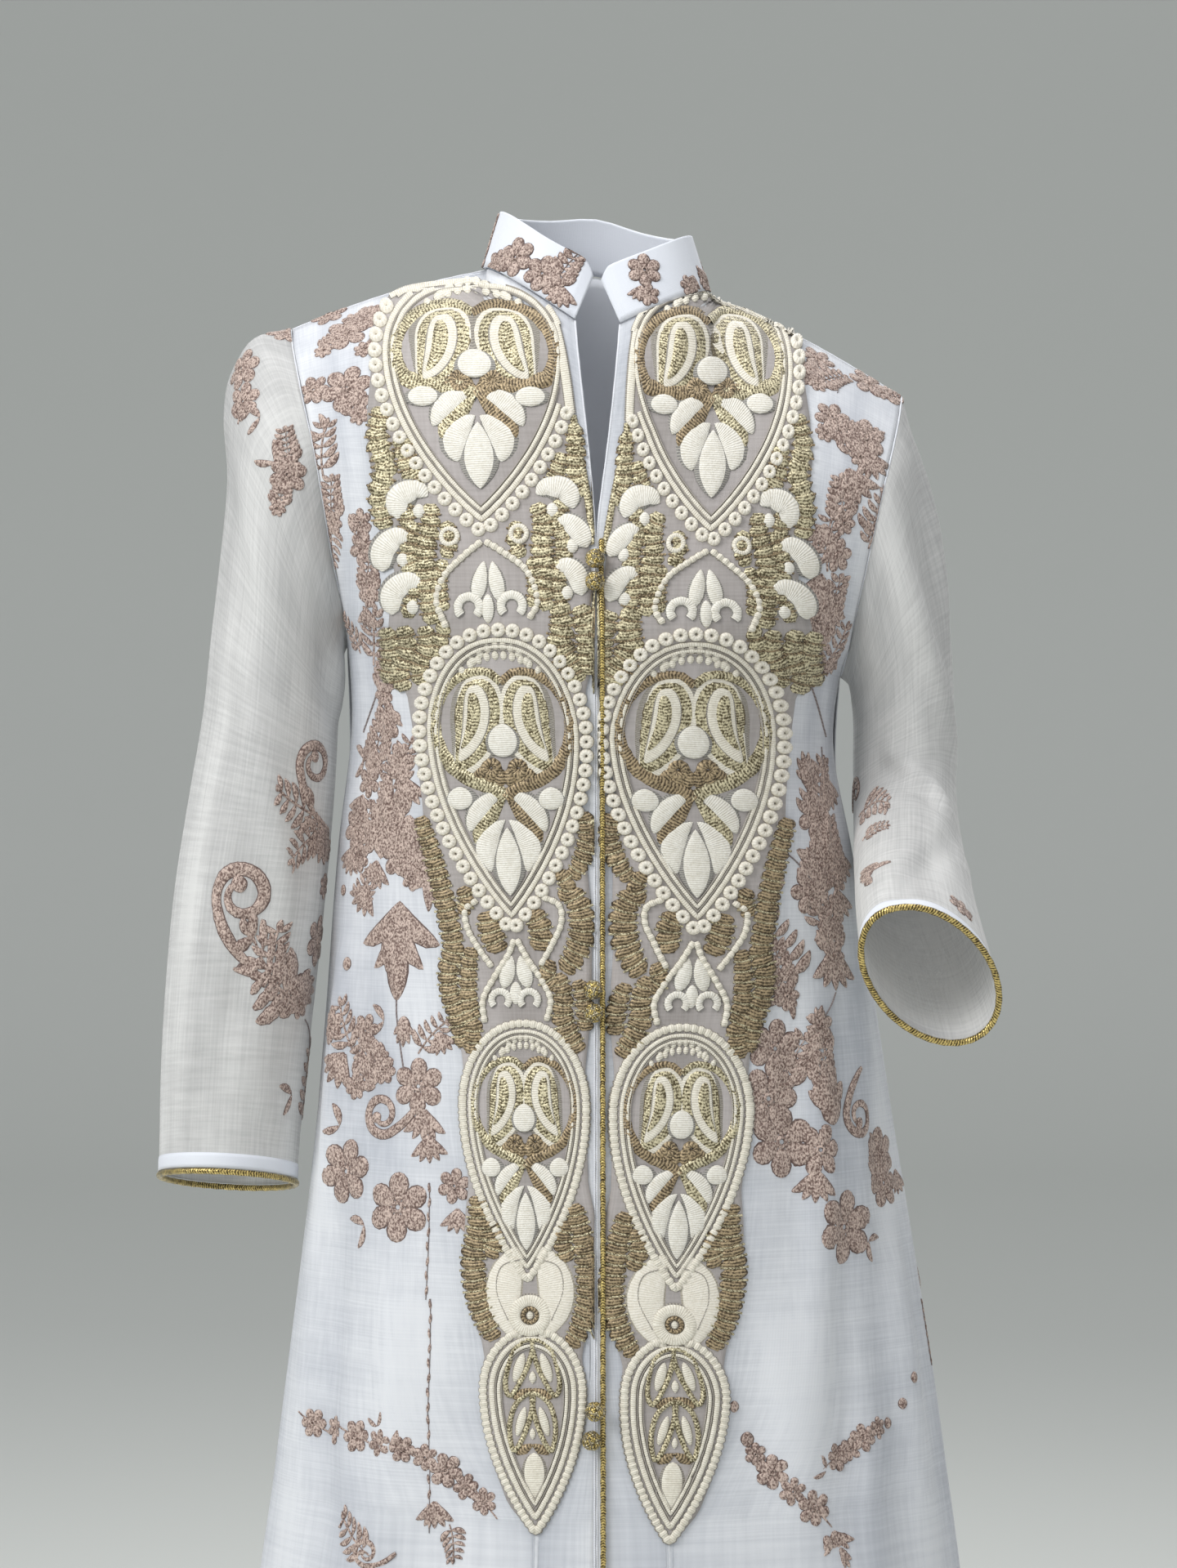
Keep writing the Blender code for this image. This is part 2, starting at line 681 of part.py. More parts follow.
def armhole(side, front_rows, front_normals, back_rows, back_normals):
    """The armhole's edge, in order: shoulder, front, underarm, back."""
    back_column = len(back_rows[0]) - 1 if side > 0 else 0
    next_column = back_column - 1 if side > 0 else 1
    ring = []
    for r in range(ARMHOLE_ROWS + 1):
        point, before = front_rows[r][LAST_COLUMN], front_rows[r][LAST_COLUMN - 1]
        ring.append([point, front_normals[r][LAST_COLUMN], (point - before).normalized()])
    for r in range(BACK_ARMHOLE_ROWS - 1, 0, -1):
        point, before = back_rows[r][back_column], back_rows[r][next_column]
        ring.append([point, back_normals[r][back_column], (point - before).normalized()])
    for index in (0, ARMHOLE_ROWS):
        ring[index][0] = Vector((ring[index][0].x, 0.0, ring[index][0].z))
        away = Vector((ring[index][2].x, 0.0, ring[index][2].z))
        if index:
            away = Vector((side * UNDERARM_WAY[0], 0.0, UNDERARM_WAY[1]))
        ring[index][2] = away.normalized()
    return ring


def sleeve_rings(side, table, ring):
    """Rings of points from the armhole to the cuff."""
    count = len(ring)
    angles = []
    for i in range(count):
        if i <= ARMHOLE_ROWS:
            angles.append(math.pi * i / ARMHOLE_ROWS)
        else:
            angles.append(math.pi + math.pi * (i - ARMHOLE_ROWS) / (count - ARMHOLE_ROWS))
    start = [point + away * (SEAM_GAP + VOILE * 0.5) for point, normal, away in ring]
    rings = [start]
    total = len(table["outer_x"])
    for k in range(total):
        outer = Vector((table["outer_x"][k], 0.0, table["outer_z"][k]))
        inner = Vector((table["inner_x"][k], 0.0, table["inner_z"][k]))
        middle = (outer + inner) / 2
        wide = (outer - inner) / 2
        bend = math.radians(table["bend"][k])
        deep = Vector((table["skew"][k], -math.cos(bend) * table["half_depth"][k],
                       math.sin(bend) * table["half_depth"][k]))
        middle.y = table["middle_y"][k]
        keep = max(0.0, 1.0 - (k + 1) / SLEEVE_BLEND_RINGS) ** SLEEVE_BLEND_ROUND
        line = []
        for i, angle in enumerate(angles):
            point = middle + wide * math.cos(angle) + deep * math.sin(angle)
            point.x *= side
            point = lean(point)
            line.append(point.lerp(start[i], keep * abs(math.sin(angle)) ** 2))
        rings.append(line)
    return rings


def sleeve(word, side, table, ring, material):
    """One sleeve, its cap a solid of its own where it has one; gives its rings of middle points."""
    rings = sleeve_rings(side, table, ring)
    count = len(rings[0])
    normals = []
    for k, line in enumerate(rings):
        middle = sum(line, Vector()) / count
        row = []
        for i in range(count):
            across = line[(i + 1) % count] - line[i - 1]
            along = rings[min(k + 1, len(rings) - 1)][i] - rings[max(k - 1, 0)][i]
            normal = across.cross(along).normalized()
            if normal.dot(line[i] - middle) < 0.0:
                normal = -normal
            if k == 0:
                normal = ring[i][1].copy()
            row.append(normal)
        normals.append(row)
    outer = moved(rings, normals, VOILE / 2)
    inner = moved(rings, normals, -VOILE / 2)
    cap = SLEEVE_CAP_RINGS[word]
    if cap:
        wall("sleeve_cap_" + word, outer[:cap + 1], inner[:cap + 1], material, closed=True)
        for grid in (outer, inner):
            grid[cap] = [point + (below - point).normalized() * SEAM_GAP
                         for point, below in zip(grid[cap], grid[cap + 1])]
    wall("sleeve_" + word, outer[cap:], inner[cap:], material, closed=True)
    return rings


def collar(front_right, front_left, back, material):
    """The stand collar: a band along the neckline, leaning in, with round front ends."""
    base = [front_right[0][c] for c in range(NECK_COLUMNS + 1)]
    neck = BACK_NECK_COLUMNS
    middle = BACK_COLUMNS
    base += [back[0][middle + c] for c in range(-neck + 1, neck)]
    base += [front_left[0][c] for c in range(NECK_COLUMNS, -1, -1)]
    lift = COLLAR_WALL / 2 + REST_GAP
    lengths = [0.0]
    for a, b in zip(base, base[1:]):
        lengths.append(lengths[-1] + (b - a).length)
    total = lengths[-1]
    outer, inner = [], []
    for level in COLLAR_LEVELS:
        line_out, line_in = [], []
        for point, length in zip(base, lengths):
            from_end = min(length, total - length)
            short = max(0.0, COLLAR_CORNER - from_end)
            drop = COLLAR_CORNER - math.sqrt(max(0.0, COLLAR_CORNER ** 2 - short ** 2))
            height = COLLAR_HEIGHT - COLLAR_CORNER_DROP * drop
            away = Vector((point.x, point.y, 0.0)).normalized()
            middle_point = point + Vector((0.0, 0.0, lift + height * level))
            middle_point -= away * COLLAR_LEAN * level
            closing = ease(1.0 - from_end / COLLAR_CLOSE_LENGTH) * level
            middle_point.x -= math.copysign(COLLAR_CLOSE * closing, point.x)
            slope = Vector((0.0, 0.0, COLLAR_LEAN / COLLAR_HEIGHT)) + away
            slope.normalize()
            line_out.append(middle_point + slope * COLLAR_WALL / 2)
            line_in.append(middle_point - slope * COLLAR_WALL / 2)
        outer.append(line_out)
        inner.append(line_in)
    return wall("collar", outer, inner, material)


def cuff_piping(name, rings, material):
    """The gold piping round a cuff, sewn to its lower edge."""
    path = []
    for point, before in zip(rings[-1], rings[-2]):
        path.append(point + (point - before).normalized() * (SEAM_GAP + PIPING_RADIUS))
    return tube(name, path, PIPING_RADIUS, material, closed=True)


def front_cord(rows, normals, material):
    """The gold cord along the left front's edge, from the slit to the hem."""
    path = []
    for r in range(len(rows)):
        point = rows[r][1]
        if point.z <= CORD_START:
            path.append(point + normals[r][1] * (VOILE / 2 + REST_GAP + CORD_RADIUS))
    return tube("cord_front", path, CORD_RADIUS, material)


def knots(rows, normals, material):
    """Ball knots in pairs, resting on the cord."""
    for name, x, z in zip(KNOT_PLACES["name"], KNOT_PLACES["x"], KNOT_PLACES["z"]):
        line = min(range(len(rows)), key=lambda r: abs(rows[r][1].z - z))
        other = line + 1 if rows[line][1].z > z else line - 1
        share = (z - rows[line][1].z) / (rows[other][1].z - rows[line][1].z)
        cord = rows[line][1].lerp(rows[other][1], share)
        normal = normals[line][1].lerp(normals[other][1], share).normalized()
        cord += normal * (VOILE / 2 + REST_GAP + CORD_RADIUS)
        reach = CORD_RADIUS + KNOT_RADIUS + REST_GAP
        aside = cord.x - x
        out = math.sqrt(reach ** 2 - aside ** 2)
        ball("knot_" + name, Vector((x, cord.y - out, z)), KNOT_RADIUS, material)


def build():
    clear_scene()
    materials = {name: finish(name) for name in FINISHES}
    right_rows, right_normals = front_grid(-1)
    left_rows, left_normals = front_grid(1)
    back_rows, back_normals = back_grid()
    half = VOILE / 2
    for name, rows, normals in (("front_right", right_rows, right_normals),
                                ("front_left", left_rows, left_normals),
                                ("back", back_rows, back_normals)):
        wall(name, moved(rows, normals, half), moved(rows, normals, -half), materials["voile"])

    applique("applique_right", right_rows, right_normals, materials["applique"])
    applique("applique_left", left_rows, left_normals, materials["applique"])

    plain = {-1: front_grid(-1, False), 1: front_grid(1, False)}
    plain_back = back_grid(False)
    for name, side in (("lining_right", -1), ("lining_left", 1)):
        rows, normals = plain[side]
        lining(name, rows, normals, LINING_FRONT_ROWS, LINING_FRONT_COLUMNS, materials["lining"])
    lining("lining_back", *plain_back, LINING_BACK_ROWS, LINING_BACK_COLUMNS, materials["lining"])

    collar(right_rows, left_rows, back_rows, materials["voile"])
    for side, rows, normals, table, word in ((-1, right_rows, right_normals, HANGING_SLEEVE, "right"),
                                             (1, left_rows, left_normals, BENT_SLEEVE, "left")):
        ring = armhole(side, rows, normals, back_rows, back_normals)
        rings = sleeve(word, side, table, ring, materials["sleeve voile"])
        cuff_piping("piping_" + word, rings, materials["gold"])

    front_cord(left_rows, left_normals, materials["gold"])
    knots(left_rows, left_normals, materials["gold"])


build()
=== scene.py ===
# %% [markdown]
# # An open-front abaya, embroidered in cream and old gold
#
# The real robe is a sheer white voile with a white lining under it, a stand
# collar, and two long applique panels that meet at a gold cord. The packed
# model gives its form. This lesson lays thin cloth on that form, then sews the
# applique, the flowers, the cord and the knots on top, as a workroom would.

# %% The frame
import math

import bmesh
import bpy
import numpy as np
from mathutils import Matrix, Vector
from mathutils.bvhtree import BVHTree


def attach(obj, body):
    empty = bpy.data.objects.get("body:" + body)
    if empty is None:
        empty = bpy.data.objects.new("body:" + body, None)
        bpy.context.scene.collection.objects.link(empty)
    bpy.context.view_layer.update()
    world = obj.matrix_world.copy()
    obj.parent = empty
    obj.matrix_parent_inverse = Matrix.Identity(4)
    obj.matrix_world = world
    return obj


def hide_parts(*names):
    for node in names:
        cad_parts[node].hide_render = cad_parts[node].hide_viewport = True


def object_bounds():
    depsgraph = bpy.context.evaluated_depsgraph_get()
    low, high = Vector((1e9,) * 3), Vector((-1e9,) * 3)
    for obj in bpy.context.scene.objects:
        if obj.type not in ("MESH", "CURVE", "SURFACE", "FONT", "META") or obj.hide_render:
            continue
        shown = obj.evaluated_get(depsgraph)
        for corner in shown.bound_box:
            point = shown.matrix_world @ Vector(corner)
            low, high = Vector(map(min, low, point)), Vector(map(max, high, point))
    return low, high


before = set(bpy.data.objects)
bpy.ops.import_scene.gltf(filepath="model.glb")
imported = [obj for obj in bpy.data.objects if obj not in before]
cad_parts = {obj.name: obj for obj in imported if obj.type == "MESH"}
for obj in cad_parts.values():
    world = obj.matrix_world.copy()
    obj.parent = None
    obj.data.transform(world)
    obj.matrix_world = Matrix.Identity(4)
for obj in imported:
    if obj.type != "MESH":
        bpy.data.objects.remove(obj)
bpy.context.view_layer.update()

# %% [markdown]
# ## The camera
#
# The photo is taken level, from a little over two metres, so the camera stands
# there too. Every place on the front can then be named by the pixel where the
# photo shows it: a ray through that pixel meets the cloth where the real
# stitch sits. Sizes are still written in real millimetres.

# %% Camera
PHOTO_WIDTH, PHOTO_MIDDLE_PY = 1440, 960
CAMERA_DISTANCE = 2.1
CAMERA_ACROSS, CAMERA_HEIGHT = -0.005, -0.305
METRES_PER_PIXEL = 0.00053       # on the plane through the shoulders
CHEST_PIXEL_MM = 0.502           # one pixel on the chest, in millimetres
SENSOR_MM = 27.0

camera_data = bpy.data.cameras.new("camera")
camera_data.sensor_fit = "HORIZONTAL"
camera_data.sensor_width = SENSOR_MM
camera_data.lens = SENSOR_MM * CAMERA_DISTANCE / (PHOTO_WIDTH * METRES_PER_PIXEL)
camera = bpy.data.objects.new("camera", camera_data)
camera.location = (CAMERA_ACROSS, -CAMERA_DISTANCE, CAMERA_HEIGHT)
camera.rotation_euler = (math.radians(90), 0, 0)
bpy.context.scene.collection.objects.link(camera)
bpy.context.scene.camera = camera
print("lens", round(camera_data.lens, 1), "mm")


def sight(px, py):
    """Where the ray through a photo pixel starts, and its direction."""
    start = Vector((CAMERA_ACROSS, -CAMERA_DISTANCE, CAMERA_HEIGHT))
    end = Vector(((px - PHOTO_WIDTH / 2) * METRES_PER_PIXEL + CAMERA_ACROSS, 0.0,
                  (PHOTO_MIDDLE_PY - py) * METRES_PER_PIXEL + CAMERA_HEIGHT))
    return start, (end - start).normalized()


# %% [markdown]
# ## The pattern pieces
#
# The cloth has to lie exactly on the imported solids, so the same body sections,
# neckline and armholes are worked out here as in the part's source: a few
# heights with half widths and depths, and smooth curves between them.

# %% Sizes of the garment
VOILE = 0.0012
COLLAR_WALL = 0.0020
SEAM_GAP = 0.0003
REST_GAP = 0.0003
NECK_HALF, NECK_FRONT, NECK_BACK = 0.072, 0.062, 0.058
NECK_FRONT_DROP, NECK_BACK_RISE, NECK_SIDE_HEIGHT = 0.043, 0.012, 0.020
SHOULDER_HALF, SHOULDER_HEIGHT, SHOULDER_BOW = 0.197, -0.032, 0.004
COLLAR_HEIGHT, COLLAR_LEAN = 0.036, 0.011
COLLAR_CORNER, COLLAR_CORNER_DROP = 0.014, 0.55
COLLAR_LEVELS = (0.0, 0.34, 0.67, 0.88, 1.0)
COLLAR_CLOSE, COLLAR_CLOSE_LENGTH = 0.009, 0.040
TILT, TILT_FULL, TILT_END = -0.110, -0.060, -0.420
YOKE, UNDERARM, PANEL_END, HEM = -0.120, -0.225, -0.770, -1.400
UNDERARM_HALF, ARMHOLE_YOKE_HALF, ARMHOLE_DEPTH = 0.160, 0.176, 0.058
ARMHOLE_DEPTH_ROUND, ARMHOLE_HALF_ROUND = 0.7, 1.3
SIDE_TURN, YOKE_LESS_TURN = 90.0, 38.0
TOP_LEAVE, TOP_PULL, YOKE_STEP = (0.30, 1.10, 0.45), 1.05, 0.010
NECK_COLUMNS, MARGIN_SHARE, INNER_SHARE = 7, 0.03, 0.07
PANEL_FIRST, PANEL_LAST, LAST_COLUMN = 2, 10, 17
YOKE_ROWS, ARMHOLE_ROWS, PANEL_ROWS, HEM_ROWS = 6, 12, 36, 42
BACK_NECK_COLUMNS, BACK_COLUMNS = 3, 9
BACK_ARMHOLE_ROWS, BACK_YOKE_ROWS, BACK_HEM_ROWS = 10, 5, 27
FOLD_GROWTH = 0.8
UNDERARM_WAY = (0.5, -0.8)
SLEEVE_BLEND_RINGS, SLEEVE_BLEND_ROUND = 4.0, 1.5
LINING_LOOSE = 0.0050
def mm(text):
    """Sizes as a maker writes them down, in millimetres, turned into metres."""
    return [float(word) / 1000 for word in text.split()]


BODY = {
    "z": mm("-60 -120 -200 -270 -350 -590 -810 -1400"),
    "right": mm("182 172 164 158 167 186 211 290"),
    "left": mm("182 172 162 153 166 201 230 305"),
    "front": mm("78 96 116 108 100 116 130 172"),
    "back": mm("72 86 88 78 74 106 122 168"),
}
RIGHT_FRONT = {
    "z": mm("-18 -60 -148 -220 -400 -590 -690 -765 -1400"),
    "edge": mm("13.5 9 1.2 1.2 1.2 1.2 1.2 1.2 1.2"),
    "margin": mm("16 11.5 3.8 4 4.2 4.2 4.5 12 14"),
    "inner": mm("19.5 15 7 6 6 6.5 7 34 40"),
    "outer": mm("134 139 124 115 101 83.5 70 40.5 70"),
}
LEFT_FRONT = {
    "z": mm("-18 -60 -148 -220 -400 -590 -690 -765 -1400"),
    "edge": mm("14.8 12.5 0.6 0.4 0.4 0.4 0.4 0.4 0.4"),
    "margin": mm("17.3 15 3.4 3.4 3.6 3.8 3.8 3.8 3.8"),
    "inner": mm("20.8 18.5 9.5 8.2 8.2 8.8 13 41 48"),
    "outer": mm("133 131 124 119 110 96 82 48 80"),
}
FRONT_FOLDS = {
    "place": (0.34, 0.52, 0.71, 0.90),
    "start": (-0.86, -0.52, -0.62, -0.45),
    "depth": mm("16 22 17 20"),
    "width": (0.075, 0.080, 0.070, 0.080),
}
BACK_FOLDS = {
    "place": (0.12, 0.34, 0.57, 0.80),
    "start": (-0.60, -0.48, -0.66, -0.50),
    "depth": mm("18 24 18 22"),
    "width": (0.085, 0.090, 0.080, 0.090),
}
HANGING_SLEEVE = {
    "outer_x": mm("221 237 241 238.5 243 249 254 264 272 277 280 281 281.4"),
    "outer_z": mm("-41 -66 -95 -132 -178 -225 -270 -325 -375 -430 -485 -530 -556"),
    "inner_x": mm("164 165 166 167 167.5 168 169 171.5 175.5 181 187 191.5 193.5"),
    "inner_z": mm("-231 -237 -244 -252 -263 -279 -302 -336 -379 -431 -486 -532 -560"),
    "middle_y": mm("0 0 0 0 0 0 -2 -4 -6 -8 -10 -10 -10"),
    "half_depth": mm("58 57 55 53 51 50 50 52 53 53 52 50 49"),
    "bend": (0, 0, 0, 0, 0, 0, 0, 1, 3, 6, 9, 12, 13),
    "skew": mm("0 0 0 0 0 0 0 0 0 0 0 0 0"),
}
BENT_SLEEVE = {
    "outer_x": mm("205 212 219 225 230 232.5 233 233 233 233 233 233 233.5 234"),
    "outer_z": mm("-60 -85 -115 -150 -190 -230 -268 -302 -328 -348 -367 -385 -402 -416"),
    "inner_x": mm("164 165.5 166.5 167.5 168 168 168 167.5 166 163.5 161.5 159.5 158 157.5"),
    "inner_z": mm("-231 -237 -244 -252 -263 -280 -300 -320 -338 -354 -370 -386 -402 -416"),
    "middle_y": mm("0 2 5 8 11 13 12 4 -16 -48 -86 -125 -165 -195"),
    "half_depth": mm("58 57 55 53 51 50 49 47 45 43 42 42 43 44"),
    "bend": (0, 0, 0, 0, 0, 4, 14, 32, 50, 61, 66, 68, 69, 70),
    "skew": mm("0 0 0 0 0 0 0 0 -3 -6 -9 -12 -14 -15"),
}
SIDES = {"right": -1, "left": 1}
SLEEVES = {"right": HANGING_SLEEVE, "left": BENT_SLEEVE}
print("body sections", len(BODY["z"]), "front sections", len(RIGHT_FRONT["z"]))


# %% Curves through the tables
def ease(value):
    """A soft step from 0 to 1."""
    value = min(1.0, max(0.0, value))
    return value * value * (3.0 - 2.0 * value)


def between(share, first, leaving, second, arriving):
    """A smooth way from first to second, with its slopes at both ends."""
    cube, square = share ** 3, share ** 2
    return ((2 * cube - 3 * square + 1) * first + (cube - 2 * square + share) * leaving
            + (3 * square - 2 * cube) * second + (cube - square) * arriving)


def look_up(places, values, place):
    """A smooth value from a table whose places run down or up."""
    if places[0] > places[-1]:
        places, place = [-p for p in places], -place
    if place <= places[0]:
        return values[0]
    if place >= places[-1]:
        return values[-1]
    row = 1
    while places[row] < place:
        row += 1
    before, after = max(row - 2, 0), min(row + 1, len(values) - 1)
    span = places[row] - places[row - 1]
    leaving = span * (values[row] - values[before]) / (places[row] - places[before])
    arriving = span * (values[after] - values[row - 1]) / (places[after] - places[row - 1])
    return between((place - places[row - 1]) / span, values[row - 1], leaving, values[row], arriving)


def lean(point):
    """Carry the wearer's right side higher, as the robe hangs in the photo."""
    share = ease((point.z - TILT_END) / (TILT_FULL - TILT_END))
    return Vector((point.x, point.y, point.z + TILT * point.x * share))


def fold_depth(folds, place, height):
    """How far the big skirt folds push the cloth out at one place."""
    depth = 0.0
    for middle, start, full, width in zip(*folds.values()):
        if height < start:
            grown = ((start - height) / (start - HEM)) ** FOLD_GROWTH
            depth += full * grown * math.exp(-((place - middle) / width) ** 2)
    return depth


# %% Level sections of the body
def row_height(row, yoke_rows, armhole_rows, last_row):
    """The height of one row of a panel. A front has one more mark, where its applique ends."""
    marks = {yoke_rows: YOKE, armhole_rows: UNDERARM, PANEL_ROWS: PANEL_END, last_row: HEM}
    if last_row != HEM_ROWS:
        del marks[PANEL_ROWS]
    return float(np.interp(row, list(marks), list(marks.values())))


def edge_half(side, height):
    half = look_up(BODY["z"], BODY["left" if side > 0 else "right"], height)
    if height <= UNDERARM:
        return half, 0.0
    share = (height - UNDERARM) / (YOKE - UNDERARM)
    armhole_y = ARMHOLE_DEPTH * math.sin(0.5 * math.pi * min(1.0, share) ** ARMHOLE_DEPTH_ROUND)
    half = UNDERARM_HALF + (ARMHOLE_YOKE_HALF - UNDERARM_HALF) * share ** ARMHOLE_HALF_ROUND
    return half, armhole_y


def section_turn(height):
    share = (height - UNDERARM) / (YOKE - UNDERARM)
    return math.radians(SIDE_TURN - YOKE_LESS_TURN * ease(share))


def section_point(side, front, height, place, folds=None):
    """A point on the body's level section: place 0 is the middle, 1 the panel's edge."""
    depth = look_up(BODY["z"], BODY["front" if front else "back"], height)
    half, edge_y = edge_half(side, height)
    turn = section_turn(height)
    angle = place * turn
    x = half * math.sin(angle) / math.sin(turn)
    y = depth - (depth - edge_y) * (1.0 - math.cos(angle)) / (1.0 - math.cos(turn))
    if folds:
        push = fold_depth(folds, place, height)
        length = math.hypot(x / half, y / depth) + 1e-9
        x += push * (x / half) / length
        y += push * (y / depth) / length
    return Vector((side * x, -y if front else y, height))


def place_of(side, height, distance):
    half, edge_y = edge_half(side, height)
    turn = section_turn(height)
    return math.asin(min(1.0, distance * math.sin(turn) / half)) / turn


# %% Neckline and shoulder seams
def neck_point(side, front, share):
    angle = 0.5 * math.pi * share
    depth = NECK_FRONT if front else NECK_BACK
    rise = -NECK_FRONT_DROP if front else NECK_BACK_RISE
    y = depth * math.cos(angle)
    z = NECK_SIDE_HEIGHT + rise * (1.0 - math.sin(angle))
    return Vector((side * NECK_HALF * math.sin(angle), -y if front else y, z))


def shoulder_point(side, share):
    x = NECK_HALF + (SHOULDER_HALF - NECK_HALF) * share
    bow = SHOULDER_BOW * math.sin(math.pi * share)
    z = NECK_SIDE_HEIGHT + (SHOULDER_HEIGHT - NECK_SIDE_HEIGHT) * share + bow
    return Vector((side * x, 0.0, z))


def front_places(side, height):
    table = LEFT_FRONT if side > 0 else RIGHT_FRONT
    edge, margin, inner, outer = (place_of(side, height, look_up(table["z"], table[name], height))
                                  for name in ("edge", "margin", "inner", "outer"))
    wide = PANEL_LAST - PANEL_FIRST
    rest = LAST_COLUMN - PANEL_LAST
    return ([edge, margin] + [inner + (outer - inner) * c / wide for c in range(wide + 1)]
            + [outer + (1.0 - outer) * c / rest for c in range(1, rest + 1)])


def front_top(side):
    table = LEFT_FRONT if side > 0 else RIGHT_FRONT
    first = math.asin(table["edge"][0] / NECK_HALF) / (0.5 * math.pi)
    shares = [first, first + MARGIN_SHARE, first + INNER_SHARE]
    for column in range(3, NECK_COLUMNS + 1):
        shares.append(shares[2] + (1.0 - shares[2]) * (column - 2) / (NECK_COLUMNS - 2))
    points = [neck_point(side, True, share) for share in shares]
    panel_share = (table["outer"][0] - NECK_HALF) / (SHOULDER_HALF - NECK_HALF)
    for column in range(NECK_COLUMNS + 1, PANEL_LAST + 1):
        part = (column - NECK_COLUMNS) / (PANEL_LAST - NECK_COLUMNS)
        points.append(shoulder_point(side, panel_share * part))
    for column in range(PANEL_LAST + 1, LAST_COLUMN + 1):
        part = (column - PANEL_LAST) / (LAST_COLUMN - PANEL_LAST)
        points.append(shoulder_point(side, panel_share + (1.0 - panel_share) * part))
    return points


def back_top(side):
    points = [neck_point(side, False, c / BACK_NECK_COLUMNS) for c in range(BACK_NECK_COLUMNS + 1)]
    for column in range(BACK_NECK_COLUMNS + 1, BACK_COLUMNS + 1):
        part = (column - BACK_NECK_COLUMNS) / (BACK_COLUMNS - BACK_NECK_COLUMNS)
        points.append(shoulder_point(side, part))
    return points


# %% Half panels
def half_panel(side, front, folds=True):
    """Rows of points of one half of the body, from the top edge to the hem."""
    top = front_top(side) if front else back_top(side)
    steps = ((YOKE_ROWS, ARMHOLE_ROWS, HEM_ROWS) if front
             else (BACK_YOKE_ROWS, BACK_ARMHOLE_ROWS, BACK_HEM_ROWS))
    table = (FRONT_FOLDS if front else BACK_FOLDS) if folds else None

    def level_row(height):
        places = (front_places(side, height) if front
                  else [c / BACK_COLUMNS for c in range(BACK_COLUMNS + 1)])
        return [section_point(side, front, height, place, table) for place in places]

    yoke, below = level_row(YOKE), level_row(YOKE - YOKE_STEP)
    across, forward, down = TOP_LEAVE
    rows = []
    for row in range(steps[0]):
        points = []
        for start, end, after in zip(top, yoke, below):
            way = end - start
            reach = way.length * TOP_PULL
            leave = Vector((way.x * across, way.y * forward, way.z * down)).normalized() * reach
            arrive = (after - end).normalized() * reach
            points.append(between(row / steps[0], start, leave, end, arrive))
        rows.append(points)
    for row in range(steps[0], steps[2] + 1):
        rows.append(level_row(row_height(row, *steps)))
    return [[lean(point) for point in points] for points in rows]


def front_rows(side, folds=True):
    rows = half_panel(side, True, folds)
    for r, points in enumerate(rows):
        for c in range(len(points)):
            if (r == 0 and c >= NECK_COLUMNS) or (c == LAST_COLUMN and r >= ARMHOLE_ROWS):
                points[c].y = -0.5 * SEAM_GAP
    return rows


def back_rows(folds=True):
    right, left = half_panel(-1, False, folds), half_panel(1, False, folds)
    rows = [list(reversed(a)) + b[1:] for a, b in zip(right, left)]
    for r, points in enumerate(rows):
        for c in range(len(points)):
            shoulder = r == 0 and abs(c - BACK_COLUMNS) >= BACK_NECK_COLUMNS
            if shoulder or (c in (0, 2 * BACK_COLUMNS) and r >= BACK_ARMHOLE_ROWS):
                points[c].y = 0.5 * SEAM_GAP
    return rows


# %% Sleeves and collar, as rings and levels
def armhole(side, front, back):
    """The armhole's edge, in order: shoulder, front, underarm, back."""
    column, inner = (len(back[0]) - 1, len(back[0]) - 2) if side > 0 else (0, 1)
    ring = [[front[r][LAST_COLUMN], (front[r][LAST_COLUMN] - front[r][LAST_COLUMN - 1]).normalized()]
            for r in range(ARMHOLE_ROWS + 1)]
    ring += [[back[r][column], (back[r][column] - back[r][inner]).normalized()]
             for r in range(BACK_ARMHOLE_ROWS - 1, 0, -1)]
    for index in (0, ARMHOLE_ROWS):
        ring[index][0] = Vector((ring[index][0].x, 0.0, ring[index][0].z))
        away = Vector((ring[index][1].x, 0.0, ring[index][1].z))
        if index:
            away = Vector((side * UNDERARM_WAY[0], 0.0, UNDERARM_WAY[1]))
        ring[index][1] = away.normalized()
    return ring


def sleeve_rings(side, table, ring):
    count = len(ring)
    angles = [math.pi * i / ARMHOLE_ROWS if i <= ARMHOLE_ROWS
              else math.pi + math.pi * (i - ARMHOLE_ROWS) / (count - ARMHOLE_ROWS) for i in range(count)]
    start = [point + away * (SEAM_GAP + VOILE * 0.5) for point, away in ring]
    rings = [start]
    for k in range(len(table["outer_x"])):
        outer = Vector((table["outer_x"][k], 0.0, table["outer_z"][k]))
        inner = Vector((table["inner_x"][k], 0.0, table["inner_z"][k]))
        middle, wide = (outer + inner) / 2, (outer - inner) / 2
        middle.y = table["middle_y"][k]
        bend = math.radians(table["bend"][k])
        deep = Vector((table["skew"][k], -math.cos(bend) * table["half_depth"][k],
                       math.sin(bend) * table["half_depth"][k]))
        keep = max(0.0, 1.0 - (k + 1) / SLEEVE_BLEND_RINGS) ** SLEEVE_BLEND_ROUND
        line = []
        for i, angle in enumerate(angles):
            point = middle + wide * math.cos(angle) + deep * math.sin(angle)
            point.x *= side
            line.append(lean(point).lerp(start[i], keep * abs(math.sin(angle)) ** 2))
        rings.append(line)
    return rings


